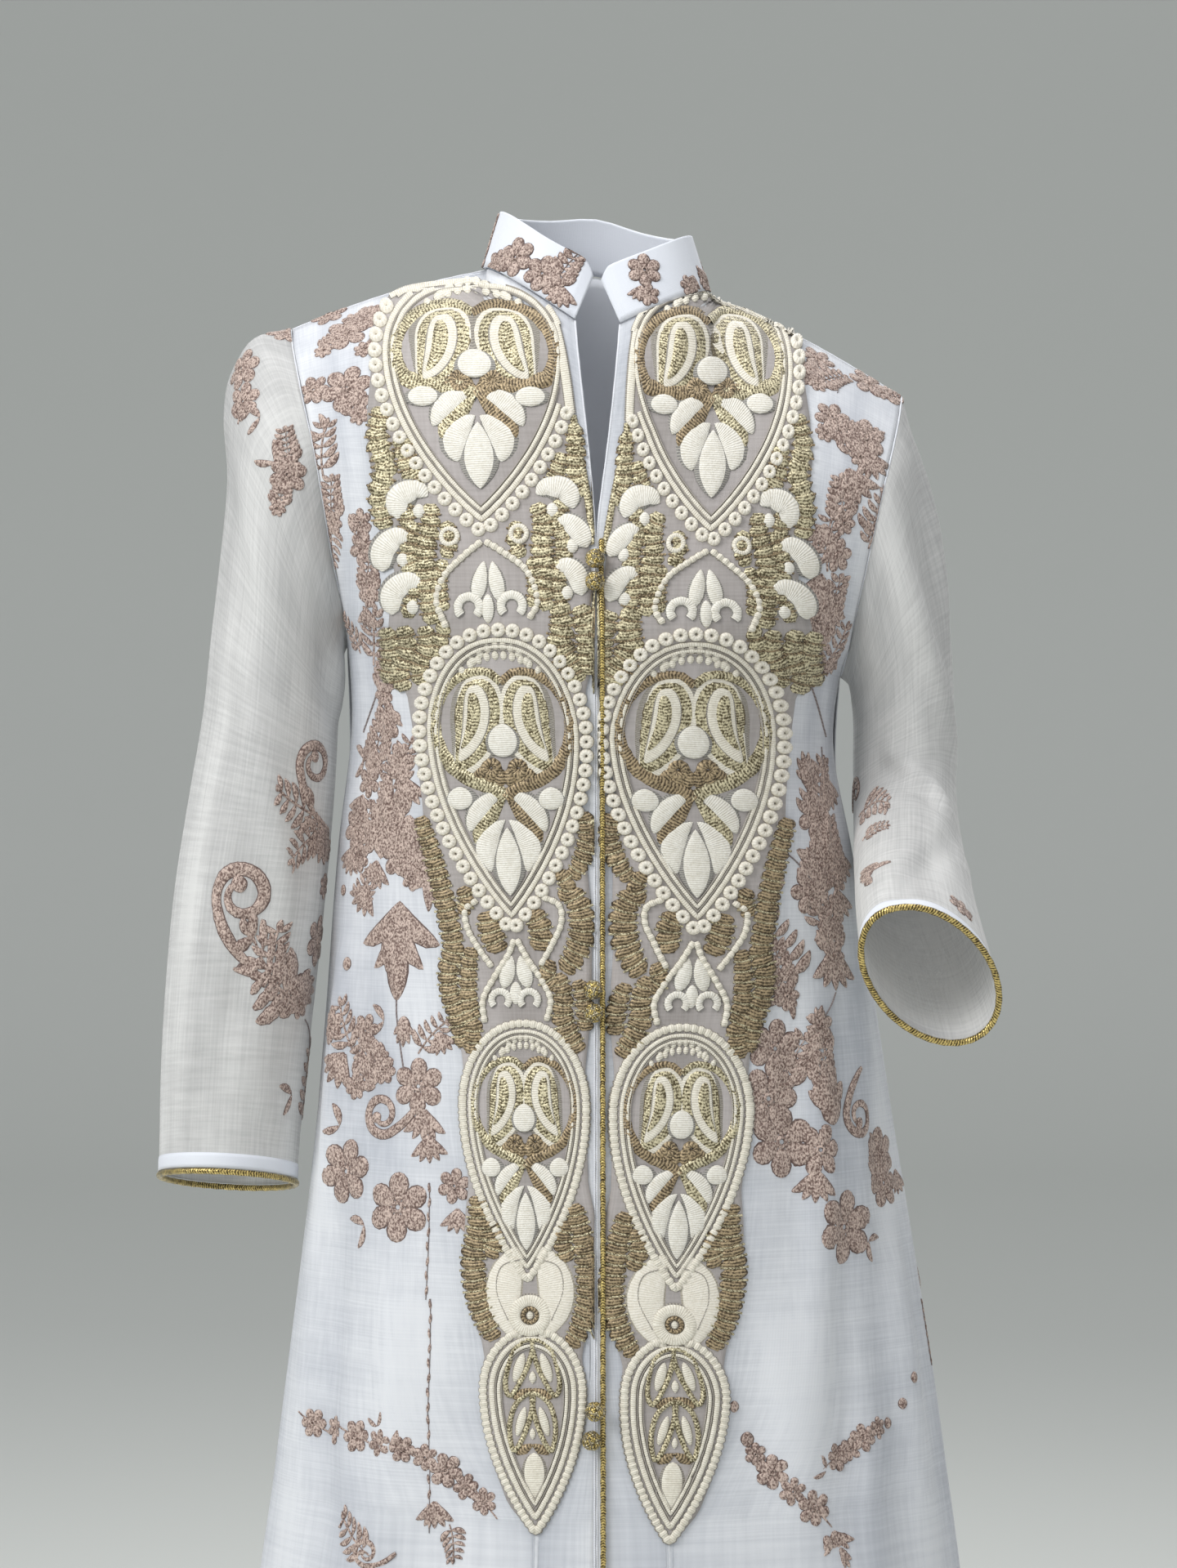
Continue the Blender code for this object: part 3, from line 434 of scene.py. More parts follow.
def collar_levels(right, left, back):
    """The middle of the stand collar, level by level, from the neckline up."""
    base = [right[0][c] for c in range(NECK_COLUMNS + 1)]
    base += [back[0][BACK_COLUMNS + c] for c in range(-BACK_NECK_COLUMNS + 1, BACK_NECK_COLUMNS)]
    base += [left[0][c] for c in range(NECK_COLUMNS, -1, -1)]
    lengths = [0.0]
    for a, b in zip(base, base[1:]):
        lengths.append(lengths[-1] + (b - a).length)
    levels = []
    for level in COLLAR_LEVELS:
        line = []
        for point, length in zip(base, lengths):
            from_end = min(length, lengths[-1] - length)
            short = max(0.0, COLLAR_CORNER - from_end)
            drop = COLLAR_CORNER - math.sqrt(max(0.0, COLLAR_CORNER ** 2 - short ** 2))
            away = Vector((point.x, point.y, 0.0)).normalized()
            rise = COLLAR_WALL / 2 + REST_GAP + (COLLAR_HEIGHT - COLLAR_CORNER_DROP * drop) * level
            middle = point + Vector((0.0, 0.0, rise)) - away * COLLAR_LEAN * level
            closing = ease(1.0 - from_end / COLLAR_CLOSE_LENGTH) * level
            middle.x -= math.copysign(COLLAR_CLOSE * closing, point.x)
            line.append(middle)
        levels.append(line)
    return levels


# %% [markdown]
# ## From pattern to cloth
#
# A pattern piece is a coarse net of points. Real cloth is smooth between them,
# so each net is made finer along smooth curves, and creases are pressed into
# the fine net. A crease is a soft step: a ridge on one side and a trough on
# the other, which is how a fold of light cloth catches the light.

# %% Finer nets, their directions and their lengths
TINY = 1e-12
MEET = 2e-6      # points nearer than this, in metres, become one


def unit(ways):
    """The same directions, each one long."""
    return ways / np.maximum(np.linalg.norm(ways, axis=-1, keepdims=True), TINY)


def distances(path):
    """How far along a path each of its points is."""
    return np.concatenate([[0.0], np.cumsum(np.linalg.norm(np.diff(path, axis=0), axis=1))])


def spread(path, places):
    """Points at given distances along a path."""
    far = distances(path)
    return np.stack([np.interp(places, far, line) for line in path.T], axis=1)


def finer(net, steps, axis=0, closed=False):
    """A net with more points, on smooth curves through the ones it has."""
    net = np.moveaxis(np.asarray(net, float), axis, 0)
    spans = len(net) - (0 if closed else 1)
    if not closed:
        net = np.concatenate([[2 * net[0] - net[1]], net, [2 * net[-1] - net[-2]]])
    shift = 0 if closed else 1
    place = np.arange(spans * steps + shift) / steps
    start = np.minimum(place.astype(int), spans - 1)
    share = (place - start)[:, None, None]
    before, first, second, after = (net[(start + k + shift) % len(net)] for k in (-1, 0, 1, 2))
    return np.moveaxis(between(share, first, (second - before) / 2, second, (after - first) / 2), 0, axis)


def normals(net, closed=False, out=1.0):
    """Normals of a net of rows and columns; closed when its columns run round."""
    wide = np.concatenate([net[:, -1:], net, net[:, :1]], axis=1) if closed else net
    across = np.gradient(wide, axis=1)
    if closed:
        across = across[:, 1:-1]
    return unit(np.cross(across, np.gradient(net, axis=0)) * out)


# %% One crease
CREASE_END, CREASE_MIDDLE, CREASE_FADE = 0.06, 0.88, 0.6
CREASE_LIFT, CREASE_STEP = 0.55, 1.65


def crease(net, out, start, end, depth, width):
    """Press one soft crease from start to end: a ridge with a trough beside it."""
    start, end = np.array(start), np.array(end)
    way = end - start
    length = np.linalg.norm(way)
    share = np.clip(((net - start) @ way) / length ** 2, 0.0, 1.0)
    offset = net - (start + share[..., None] * way)
    far = np.linalg.norm(offset, axis=-1)
    side = np.einsum("ijk,ijk->ij", np.cross(way / length, offset), out)
    fade = np.sin(math.pi * np.clip(CREASE_END + CREASE_MIDDLE * share, 0.0, 1.0)) ** CREASE_FADE
    push = depth * fade * (CREASE_LIFT + CREASE_STEP * side / width) * np.exp(-(far / width) ** 2)
    return net + out * push[..., None]


# %% From a net to a mesh
def points_of(mesh):
    flat = np.empty(len(mesh.vertices) * 3)
    mesh.vertices.foreach_get("co", flat)
    return flat.reshape(-1, 3)


def grid_mesh(name, rows, columns):
    """A flat grid from Blender's own operator, with the row and the column of each point."""
    bm = bmesh.new()
    bm.loops.layers.uv.new("UVMap")
    bmesh.ops.create_grid(bm, x_segments=columns - 1, y_segments=rows - 1, size=1.0, calc_uvs=True)
    mesh = bpy.data.meshes.new(name)
    bm.to_mesh(mesh)
    bm.free()
    flat = points_of(mesh)
    row = np.rint((flat[:, 1] + 1) / 2 * (rows - 1)).astype(int)
    column = np.rint((flat[:, 0] + 1) / 2 * (columns - 1)).astype(int)
    mesh.polygons.foreach_set("use_smooth", [True] * len(mesh.polygons))
    return mesh, row, column


def net_mesh(name, net, closed=False, flip=False):
    """A mesh from a net, with its UV map in metres along the cloth."""
    if closed:
        net = np.concatenate([net, net[:, :1]], axis=1)
    mesh, row, column = grid_mesh(name, *net.shape[:2])
    mesh.vertices.foreach_set("co", net[row, column].ravel())
    wide = distances(net[net.shape[0] // 2])[-1]
    long = distances(net[:, net.shape[1] // 2])[-1]
    uv = np.empty(len(mesh.loops) * 2)
    mesh.uv_layers[0].data.foreach_get("uv", uv)
    mesh.uv_layers[0].data.foreach_set("uv", (uv.reshape(-1, 2) * (wide, long)).ravel())
    if closed:
        bm = bmesh.new()
        bm.from_mesh(mesh)
        bmesh.ops.remove_doubles(bm, verts=bm.verts, dist=MEET / 2)
        bm.to_mesh(mesh)
        bm.free()
    if flip:
        mesh.flip_normals()
    return mesh


# %% The nets of every piece of cloth
ROW_STEPS, COLUMN_STEPS, LINING_COLUMN_STEPS = 3, 3, 2
BACK_ROW_STEPS, RING_STEPS = 5, 5
OUTWARD = {"front_right": 1.0, "front_left": -1.0, "back": 1.0, "sleeve_right": -1.0,
           "sleeve_left": 1.0, "collar": -1.0}
CLOSED = ("sleeve_right", "sleeve_left")
nets = {}


def cloth_net(rows, row_steps, column_steps=COLUMN_STEPS, closed=False):
    points = [[tuple(point) for point in line] for line in rows]
    return finer(finer(points, row_steps), column_steps, 1, closed)


def outward(name):
    return normals(nets[name], name in CLOSED, OUTWARD[name])


def surface(name):
    """A search tree of one piece's surface."""
    net = nets[name]
    rows, columns = net.shape[:2]
    span = columns if name in CLOSED else columns - 1
    faces = [(r * columns + c, r * columns + (c + 1) % columns, (r + 1) * columns + (c + 1) % columns,
              (r + 1) * columns + c) for r in range(rows - 1) for c in range(span)]
    return BVHTree.FromPolygons([tuple(p) for p in net.reshape(-1, 3)], faces)


fronts, back = {word: front_rows(side) for word, side in SIDES.items()}, back_rows()
for word, side in SIDES.items():
    rings = sleeve_rings(side, SLEEVES[word], armhole(side, fronts[word], back))
    nets["front_" + word] = cloth_net(fronts[word], ROW_STEPS)
    nets["sleeve_" + word] = cloth_net(rings, RING_STEPS, closed=True)
nets["back"] = cloth_net(back, BACK_ROW_STEPS)
nets["collar"] = cloth_net(collar_levels(fronts["right"], fronts["left"], back), ROW_STEPS)
print("nets", {name: net.shape[:2] for name, net in nets.items()})

# %% [markdown]
# ## Creases
#
# Before anything is sewn on, the cloth gets the folds that the photo shows: the
# long fold down the hanging sleeve, the break at the bent elbow, and the soft
# drops of the skirt. The sides that the camera can't see get similar ones, all a
# little different.

# %% Lists on cards
def rows(text):
    """The rows of a list, one to a line or with commas between. Numbers become numbers."""
    found = [row.split() for row in text.replace("\n", ",").split(",")]
    return [[word if word[0].isalpha() else float(word) for word in row] for row in found if row]


# Piece, the crease's two ends as photo pixels, its depth and width in millimetres.
SEEN_CREASES = rows("""
sleeve_right 306 525 408 860 11 11
sleeve_right 300 430 318 760 4.4 12
sleeve_right 352 500 402 700 -5 14
sleeve_right 300 900 345 1130 4.4 12
sleeve_right 300 1110 250 1330 -3.4 14
sleeve_right 250 1250 335 1390 3.2 10
sleeve_left 1140 560 1152 800 4.6 12
sleeve_left 1090 700 1165 930 5.6 11
sleeve_left 1092 932 1160 1000 5.6 9
sleeve_left 1075 985 1180 1060 4 9
sleeve_left 1165 1010 1090 1100 -3.2 11
sleeve_left 1120 1010 1190 1080 3.2 9
sleeve_left 1110 640 1150 820 -3.4 13
front_right 405 1490 380 1900 -5.4 16
front_right 470 1560 455 1900 5.6 17
front_right 415 1180 395 1480 4.6 13
front_right 560 1620 548 1900 -3.8 16
front_left 1020 1490 1022 1919 -6 13
front_left 985 1240 1000 1560 4.8 15
front_left 1085 1560 1120 1900 5.8 16
front_left 940 1640 960 1900 5 18
front_left 1060 1330 1075 1540 -4 14
""")
# Piece, the two ends as x, y and z in millimetres, depth and width.
HIDDEN_CREASES = rows("""
back -100 80 -150 -125 60 -400 3.6 16
back 85 85 -160 110 65 -380 -3.8 17
back -30 85 -300 -40 110 -720 4.2 18
back 45 85 -420 60 120 -900 -3.8 19
back -150 60 -480 -180 60 -1050 4.4 17
back 160 60 -520 185 60 -1000 -4.4 18
back 5 100 -700 10 160 -1350 5 22
sleeve_right -232 45 -120 -215 50 -330 3.4 12
sleeve_right -205 50 -260 -240 45 -440 -2.8 13
sleeve_right -250 48 -420 -235 40 -560 3.2 12
sleeve_left 215 55 -110 200 60 -260 -3 12
sleeve_left 190 55 -180 215 55 -310 3.4 13
sleeve_left 225 50 -300 200 40 -380 3.8 10
front_right -178 -30 -420 -200 -35 -760 3.4 15
front_left 185 -30 -450 215 -35 -800 -3.6 15
front_right -215 -40 -840 -260 -50 -1350 5 20
front_left 230 -40 -820 275 -50 -1340 -4.8 21
""")


# %% Pressing the creases
def met(tree, start, way, otherwise):
    """Where a ray meets a surface and the face it meets, or else the place nearest to a point."""
    point, normal, face, far = tree.ray_cast(start, way)
    if point is None:
        point, normal, face, far = tree.find_nearest(otherwise)
    return point, face


def crease_end(tree, px, py):
    start, way = sight(px, py)
    return met(tree, start, way, start + way * CAMERA_DISTANCE)[0]


def press(piece, start, end, depth_mm, width_mm):
    nets[piece] = crease(nets[piece], outward(piece), start, end, depth_mm / 1000, width_mm / 1000)


trees = {name: surface(name) for name in nets}
for piece, ax, ay, bx, by, depth_mm, width_mm in SEEN_CREASES:
    press(piece, crease_end(trees[piece], ax, ay), crease_end(trees[piece], bx, by), depth_mm, width_mm)
for piece, ax, ay, az, bx, by, bz, depth_mm, width_mm in HIDDEN_CREASES:
    start, end = (trees[piece].find_nearest(Vector(place) / 1000)[0]
                  for place in ((ax, ay, az), (bx, by, bz)))
    press(piece, start, end, depth_mm, width_mm)
print("creases", len(SEEN_CREASES) + len(HIDDEN_CREASES))

# %% [markdown]
# ## Materials
#
# Cloth and thread are never one flat colour. Two node groups carry what they
# share: a weave, with uneven threads, slubs and soft lengthwise bands of painted
# fold shade, and a stitch, with threads that lie across a band and darker needle
# holes along its edges. On the rose thread that dark edge is painted shade
# between the leaves, and on the gold and rose threads the light flecks are partly
# painted glints. Both read the piece's own UV map in metres, so the threads keep
# their real size.

# %% Helpers for node trees
def colour(code):
    """A colour as a camera shows it, as red, green and blue in hexadecimal, made linear for the shader."""
    shown_as = [int(code[k:k + 2], 16) / 255 for k in (0, 2, 4)]
    return (*(v / 12.92 if v <= 0.04045 else ((v + 0.055) / 1.055) ** 2.4 for v in shown_as), 1.0)


def feed(tree, socket, value):
    """Link an output into a socket, or set the socket's own value."""
    if isinstance(value, bpy.types.NodeSocket):
        tree.links.new(value, socket)
    else:
        socket.default_value = value


def add(tree, kind, inputs=None, **settings):
    """One node, with its settings, its values and what is linked into it."""
    node = tree.nodes.new(kind)
    for key, value in settings.items():
        setattr(node, key, value)
    for key, value in (inputs or {}).items():
        feed(tree, node.inputs[key], value)
    return node


def maths(tree):
    """One short function for each kind of Math node in a tree."""
    def function(kind):
        return lambda *values: add(tree, "ShaderNodeMath", dict(enumerate(values)), operation=kind).outputs[0]
    return [function(kind) for kind in ("ADD", "SUBTRACT", "MULTIPLY", "MULTIPLY_ADD", "SINE")]


def blend_colours(tree, share, first, second):
    node = add(tree, "ShaderNodeMix", data_type="RGBA")
    for key, value in (("Factor", share), ("A", first), ("B", second)):
        feed(tree, [s for s in node.inputs if s.name == key and s.enabled][0], value)
    return [s for s in node.outputs if s.enabled][0]


def stretched_noise(tree, vector, scales, detail=2.0):
    mapping = add(tree, "ShaderNodeMapping", {"Vector": vector, "Scale": scales})
    noise = add(tree, "ShaderNodeTexNoise", {"Vector": mapping.outputs[0], "Scale": 1.0, "Detail": detail})
    return noise.outputs["Fac"]


def new_group(name, inputs, outputs):
    """A shader node group with named sockets."""
    group = bpy.data.node_groups.new(name, "ShaderNodeTree")
    for way, sockets in (("INPUT", inputs), ("OUTPUT", outputs)):
        for socket, form in sockets.items():
            group.interface.new_socket(name=socket, in_out=way, socket_type="NodeSocket" + form)
    return group, group.nodes.new("NodeGroupInput").outputs, group.nodes.new("NodeGroupOutput").inputs


# %% The weave group
weave, given, result = new_group("weave", {"Vector": "Vector", "Threads": "Float", "Slubs": "Float"},
                                 {"Height": "Float", "Cover and painted shade": "Float"})
plus, minus, times, times_plus, sine = maths(weave)
along_cloth = given["Vector"]
place = add(weave, "ShaderNodeSeparateXYZ", {0: along_cloth}).outputs
turns = times(given["Threads"], 2 * math.pi)
warp, weft = sine(times(place[0], turns)), sine(times(place[1], turns))
net_of_threads = times_plus(plus(warp, weft), 0.12, 0.5)
down = stretched_noise(weave, along_cloth, (620.0, 22.0, 1.0))
across = stretched_noise(weave, along_cloth, (26.0, 560.0, 1.0))
cloudy = stretched_noise(weave, along_cloth, (34.0, 34.0, 34.0), 3.0)
# Soft lengthwise bands of painted fold shade: where this noise is low, the cloth is darker and more
# see-through.
painted_fold_shade = stretched_noise(weave, along_cloth, (24.0, 3.0, 1.0), 1.0)
streaks = plus(times(down, 0.5), times(across, 0.5))
uneven = times(minus(streaks, 0.5), given["Slubs"])
feed(weave, result["Height"], plus(net_of_threads, uneven))
cover = plus(times_plus(uneven, 0.8, 0.5), times(minus(cloudy, 0.5), 0.35))
feed(weave, result["Cover and painted shade"], plus(cover, times(minus(painted_fold_shade, 0.46), 1.5)))
print("weave group", len(weave.nodes), "nodes")

# %% The stitch group
stitch, given, result = new_group(
    "stitch", {"Light": "Color", "Dark": "Color", "Edge": "Color", "Stitches": "Float", "Slant": "Float",
               "Contrast": "Float", "Edge width": "Float", "Fuzz": "Float"},
    {"Color": "Color", "Height": "Float"})
plus, minus, times, times_plus, sine = maths(stitch)
place = add(stitch, "ShaderNodeSeparateXYZ", {0: add(stitch, "ShaderNodeUVMap").outputs[0]}).outputs
sideways = add(stitch, "ShaderNodeMath", {0: minus(place[1], 0.5)}, operation="ABSOLUTE").outputs[0]
turn = times_plus(place[0], given["Stitches"], times(sideways, given["Slant"]))
stripe = times_plus(sine(times(turn, 2 * math.pi)), 0.5, 0.5)
place_in = add(stitch, "ShaderNodeTexCoord").outputs["Object"]
tangle = stretched_noise(stitch, place_in, (950.0, 950.0, 700.0))
tangle = times_plus(minus(tangle, 0.5), 3.2, 0.5)
thread = plus(stripe, times(given["Fuzz"], minus(tangle, stripe)))
strand = stretched_noise(stitch, place_in, (560.0, 560.0, 560.0), 1.0)
patch = stretched_noise(stitch, place_in, (150.0, 150.0, 150.0), 3.0)
mixed = plus(times(thread, 0.42), plus(times(strand, 0.40), times(patch, 0.30)))
# Dark and Light are mixed by noise: uneven thread, and on the gold and rose threads also painted glints in
# the light flecks.
share = times_plus(minus(mixed, 0.56), given["Contrast"], 0.5)
share = add(stitch, "ShaderNodeClamp", {0: share}).outputs[0]
threads = blend_colours(stitch, share, given["Dark"], given["Light"])
# Near its edges the colour goes to Edge: a stitched outline on the satins, and painted shade between the
# leaves on the rose thread.
at_edge = add(stitch, "ShaderNodeMath", {0: sideways, 1: minus(0.5, given["Edge width"])},
              operation="GREATER_THAN").outputs[0]
border = times(at_edge, times_plus(thread, 0.5, 0.5))
feed(stitch, result["Color"], blend_colours(stitch, border, threads, given["Edge"]))
feed(stitch, result["Height"], plus(thread, times(strand, 0.6)))
print("stitch group", len(stitch.nodes), "nodes")

# %% Materials of cloth and thread
# Light and dark colour, lowest and highest alpha, slubs, bump in millimetres.
CLOTHS = {
    "voile": "f1f3f6 ccd1db 0.62 0.88 0.8 0.1",
    "sleeve voile": "eeeeec cbcbcb 0.48 0.8 1.1 0.14",
    "lining": "eef0f5 e4e8ef 1 1 0.3 0.08",
    "collar cloth": "e8ecf3 dce0e9 1 1 0.5 0.1",
    "mesh ground": "bcb6b4 948e8a 1 1 1.6 0.15",
}
# Light, dark and edge colour, then the stitch group's five numbers, roughness, metal and bump.
THREADS = {
    "cream satin": "f8f4e6 cec6b4 68625c 750 0 1.8 0.14 0.25 0.48 0 0.25",
    "cream ring": "f9f5ea d6cebc 968e7e 700 0 1.4 0.08 0.35 0.55 0 0.22",
    # On old gold, brown gold and the rose thread, the light colour is partly a painted glint.
    "old gold": "e6dcb8 554a2f 50422a 520 1.2 4.2 0.06 0.6 0.34 0.45 0.35",
    "brown gold": "bca784 453824 3e3222 520 1 3.6 0.06 0.45 0.4 0.35 0.35",
    # The rose thread's dark edge colour is painted shade between the leaves.
    "rose thread": "d5c0b4 6e574f 523e3a 480 1.8 3.2 0.11 0.9 0.55 0.12 0.32",
    "bright gold": "e4cc82 3c2e12 6e5018 600 3 3.6 0 0.4 0.28 0.75 0.2",
    "grey stitch": "beb8ae 8a847c 585450 900 0 1.2 0 0 0.7 0 0.1",
    "stem thread": "968c8a 685c5c 6e6262 500 1 1.5 0 0 0.6 0 0.1",
    "white thread": "f0f2f6 ced2da c8ccd4 700 1 1 0 0 0.8 0 0.05",
    "white satin": "faf8f0 cec8b8 62605e 750 0 1.7 0.14 0.25 0.46 0 0.25",
}
CLOTH_ROUGHNESS, CLOTH_SHEEN, THREAD_SHEEN, THREADS_A_METRE = 0.85, 0.25, 0.15, 1400.0
materials = {}


def new_material(name, roughness, metallic=0.0, sheen=0.0):
    material = bpy.data.materials.new(name)
    material.use_nodes = True
    shader = material.node_tree.nodes["Principled BSDF"]
    for key, value in (("Roughness", roughness), ("Metallic", metallic), ("Sheen Weight", sheen)):
        shader.inputs[key].default_value = value
    materials[name] = material
    return material.node_tree, shader


def bump(tree, shader, height, millimetres):
    node = add(tree, "ShaderNodeBump", {"Height": height, "Distance": millimetres / 1000, "Strength": 1.0})
    tree.links.new(node.outputs[0], shader.inputs["Normal"])


for name, card in CLOTHS.items():
    light, dark, *numbers = card.split()
    low, high, slubs, depth = map(float, numbers)
    tree, shader = new_material(name, CLOTH_ROUGHNESS, sheen=CLOTH_SHEEN)
    woven = add(tree, "ShaderNodeGroup", node_tree=weave)
    for key, value in (("Vector", add(tree, "ShaderNodeUVMap").outputs[0]), ("Threads", THREADS_A_METRE),
                       ("Slubs", slubs)):
        feed(tree, woven.inputs[key], value)
    # The cover and painted shade sets the colour, and the alpha of sheer cloths, so the painted fold shade
    # bands are darker and more see-through.
    cover = woven.outputs["Cover and painted shade"]
    feed(tree, shader.inputs["Base Color"], blend_colours(tree, cover, colour(dark), colour(light)))
    bump(tree, shader, woven.outputs["Height"], depth)
    if high < 1.0:
        sheer = add(tree, "ShaderNodeMapRange", {"Value": cover, "From Min": 0.25, "From Max": 0.75,
                                                 "To Min": low, "To Max": high})
        feed(tree, shader.inputs["Alpha"], sheer.outputs[0])

for name, card in THREADS.items():
    light, dark, edge, *numbers = card.split()
    *group_numbers, roughness, metallic, depth = map(float, numbers)
    tree, shader = new_material(name, roughness, metallic, THREAD_SHEEN)
    sewn = add(tree, "ShaderNodeGroup", node_tree=stitch)
    for socket, value in zip(sewn.inputs, [colour(light), colour(dark), colour(edge)] + group_numbers):
        socket.default_value = value
    feed(tree, shader.inputs["Base Color"], sewn.outputs["Color"])
    bump(tree, shader, sewn.outputs["Height"], depth)
print("materials", sorted(materials))

# %% [markdown]
# ## Laying the cloth
#
# Each pattern piece becomes its own thin sheet with a little thickness, so that
# its edge reads as cloth. The sheet stands for the imported solid of the same
# name, which it hides. No piece is a plain rectangle, so the list gives the flat
# cut's width, length and area, the area worked out as strips from the widths of
# the pattern piece at seven heights.

# %% A finished piece
def shown(name, mesh, finishes, slot, *replaced, thick=0.0):
    """A finished piece: its object at the origin, riding on the garment's body."""
    thing = bpy.data.objects.new(name, mesh)
    mesh.materials.clear()
    for finish in finishes:
        mesh.materials.append(materials[finish])
    bpy.context.scene.collection.objects.link(thing)
    if thick:
        wall = thing.modifiers.new("thickness", "SOLIDIFY")
        wall.thickness = thick
        wall.offset = 0.0
    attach(thing, "root")
    if replaced:
        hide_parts(*replaced)
    return thing


# %% The lining's nets
LINING_FRONT_ROWS, LINING_BACK_ROWS = 41, 26
EVEN_TURNS, EVEN_REACH = 3, 4


def lining_net(name):
    """The lining: like the voile but without its deep folds, and a little inside it."""
    if name == "lining_back":
        coarse, row_steps, last, out = back_rows(False), BACK_ROW_STEPS, LINING_BACK_ROWS, 1.0
    else:
        side = SIDES[name[len("lining_"):]]
        coarse, row_steps, last, out = front_rows(side, False), ROW_STEPS, LINING_FRONT_ROWS, -side
    net = cloth_net(coarse, row_steps, LINING_COLUMN_STEPS)
    close = VOILE + REST_GAP
    loose = np.array([close + (LINING_LOOSE - close) * ease(r / row_steps / YOKE_ROWS)
                      for r in range(len(net))])
    ways = normals(net, False, out)
    for turn in range(EVEN_TURNS):
        padded = np.pad(ways, ((0, 0), (EVEN_REACH, EVEN_REACH), (0, 0)), mode="edge")
        ways = unit(sum(padded[:, k:k + ways.shape[1]] for k in range(2 * EVEN_REACH + 1)))
    return (net - ways * loose[:, None, None])[:last * row_steps + 1]


# %% The sheets
CLOTH_THICK = 0.0006
# Piece, finish, slot, flat width and length in metres, area of the cut in square metres.
SHEETS = (
    ("front_right", "voile", "voile", 0.42, 1.45, 0.395),
    ("front_left", "voile", "voile", 0.43, 1.45, 0.405),
    ("back", "voile", "voile", 0.86, 1.47, 0.783),
    ("sleeve_right", "sleeve voile", "sleeve_voile", 0.40, 0.62, 0.148),
    ("sleeve_left", "sleeve voile", "sleeve_voile", 0.38, 0.52, 0.107),
    ("collar", "collar cloth", "voile", 0.42, 0.045, 0.0139),
    ("lining_right", "lining", "lining", 0.40, 1.34, 0.337),
    ("lining_left", "lining", "lining", 0.41, 1.34, 0.347),
    ("lining_back", "lining", "lining", 0.80, 1.38, 0.685),
)


def surface_area(mesh):
    return round(sum(face.area for face in mesh.polygons), 5)


for name, finish, slot, wide, long, cut_m2 in SHEETS:
    net = nets[name] if name in nets else lining_net(name)
    flip = OUTWARD[name] < 0 if name in nets else name == "lining_left"
    mesh = net_mesh(name + "_cloth", net, name in CLOSED, flip)
    solids = (name, "sleeve_cap_right") if name == "sleeve_right" else (name,)
    thick = COLLAR_WALL if name == "collar" else CLOTH_THICK
    sheet = shown(name + "_cloth", mesh, [finish], slot, *solids, thick=thick)
    print(name, "surface", surface_area(mesh), "m2, cut", cut_m2)

# %% [markdown]
# ## The embroidery hoop
#
# An embroiderer works flat in a hoop. Here the hoop is a flat mesh whose places
# are photo pixels and whose stitches have real millimetre sizes. Everything in
# it is one kind of strip, bent into a petal, a dot, a ring or a rope. When the
# hoop is full, each point goes down a ray onto the cloth.

# %% Strips of satin stitch
STITCH_SINK_MM = 0.35      # how far a strip's edges go into what is under it
LOBE_LEAST, LOBE_MORE = 0.55, 0.45   # a lobed strip's width between its lobes, and what a lobe adds
strips = {}


def lay_strip(hoop, net, along, across, finish):
    """Put a strip on its net. Its UV map runs in metres along it and from 0 to 1 across it."""
    size = net.shape[:2]
    if size not in strips:
        mesh, row, column = grid_mesh("strip", size[1], size[0])
        corner = np.empty(len(mesh.loops), dtype=int)
        mesh.loops.foreach_get("vertex_index", corner)
        strips[size] = mesh, row, column, corner
    mesh, row, column, corner = strips[size]
    mesh.vertices.foreach_set("co", net[column, row].ravel())
    uv = np.stack([along[column], across[row]], axis=1)[corner]
    mesh.uv_layers[0].data.foreach_set("uv", uv.ravel())
    mesh.polygons.foreach_set("material_index", [finish] * len(mesh.polygons))
    hoop.from_mesh(mesh)


def new_hoop():
    bm = bmesh.new()
    bm.loops.layers.uv.new("UVMap")
    return bm


def ribbon(hoop, path, wide_mm, high_mm, finish, across=4, closed=False, base_mm=0.0,
           lobe_mm=0.0, lobe_deep=0.45, lobe_slant=0.0, square=2.0, pixel_mm=CHEST_PIXEL_MM):
    """A padded strip along a path. Its width may be one number or one for each point."""
    path = np.asarray(path, float)
    if closed:
        path = np.vstack([path, path[:1]])
    along = np.gradient(path, axis=0)
    if closed:
        along[0] = along[-1] = path[1] - path[-2]
    along = unit(along)
    aside = np.stack([-along[:, 1], along[:, 0]], axis=1)
    far = distances(path) * pixel_mm
    wide = np.zeros(len(path)) + wide_mm
    shares = np.linspace(-1.0, 1.0, across + 1)
    profile = np.maximum(1.0 - np.abs(shares) ** square, 0.0) ** 0.5
    rise = high_mm * np.sqrt(np.maximum(wide, 0.0) / wide.max())
    bulge = np.ones((len(path), across + 1))
    if lobe_mm:
        turns = max(1.0, np.rint(far[-1] / lobe_mm)) / far[-1]
        wave = np.abs(np.sin(math.pi * (far[:, None] * turns + lobe_slant * shares)))
        bulge = 1.0 - lobe_deep * (1.0 - wave)
    half = wide[:, None] / 2 / pixel_mm * (LOBE_LEAST + LOBE_MORE * bulge)
    heights = base_mm + rise[:, None] * profile * bulge
    heights[:, [0, -1]] -= STITCH_SINK_MM
    places = path[:, None] + aside[:, None] * (half * shares)[..., None]
    net = np.concatenate([places, heights[..., None] / 1000], axis=2)
    lay_strip(hoop, net, far / 1000, (shares + 1) / 2, finish)


# %% Petals, dots and rings
CREAM, RINGS, GOLD, BROWN, GREY, WHITE = range(6)
ROPE_STEP_MM = 0.9
PANEL_FINISHES = ["cream satin", "cream ring", "old gold", "brown gold", "grey stitch", "white satin"]


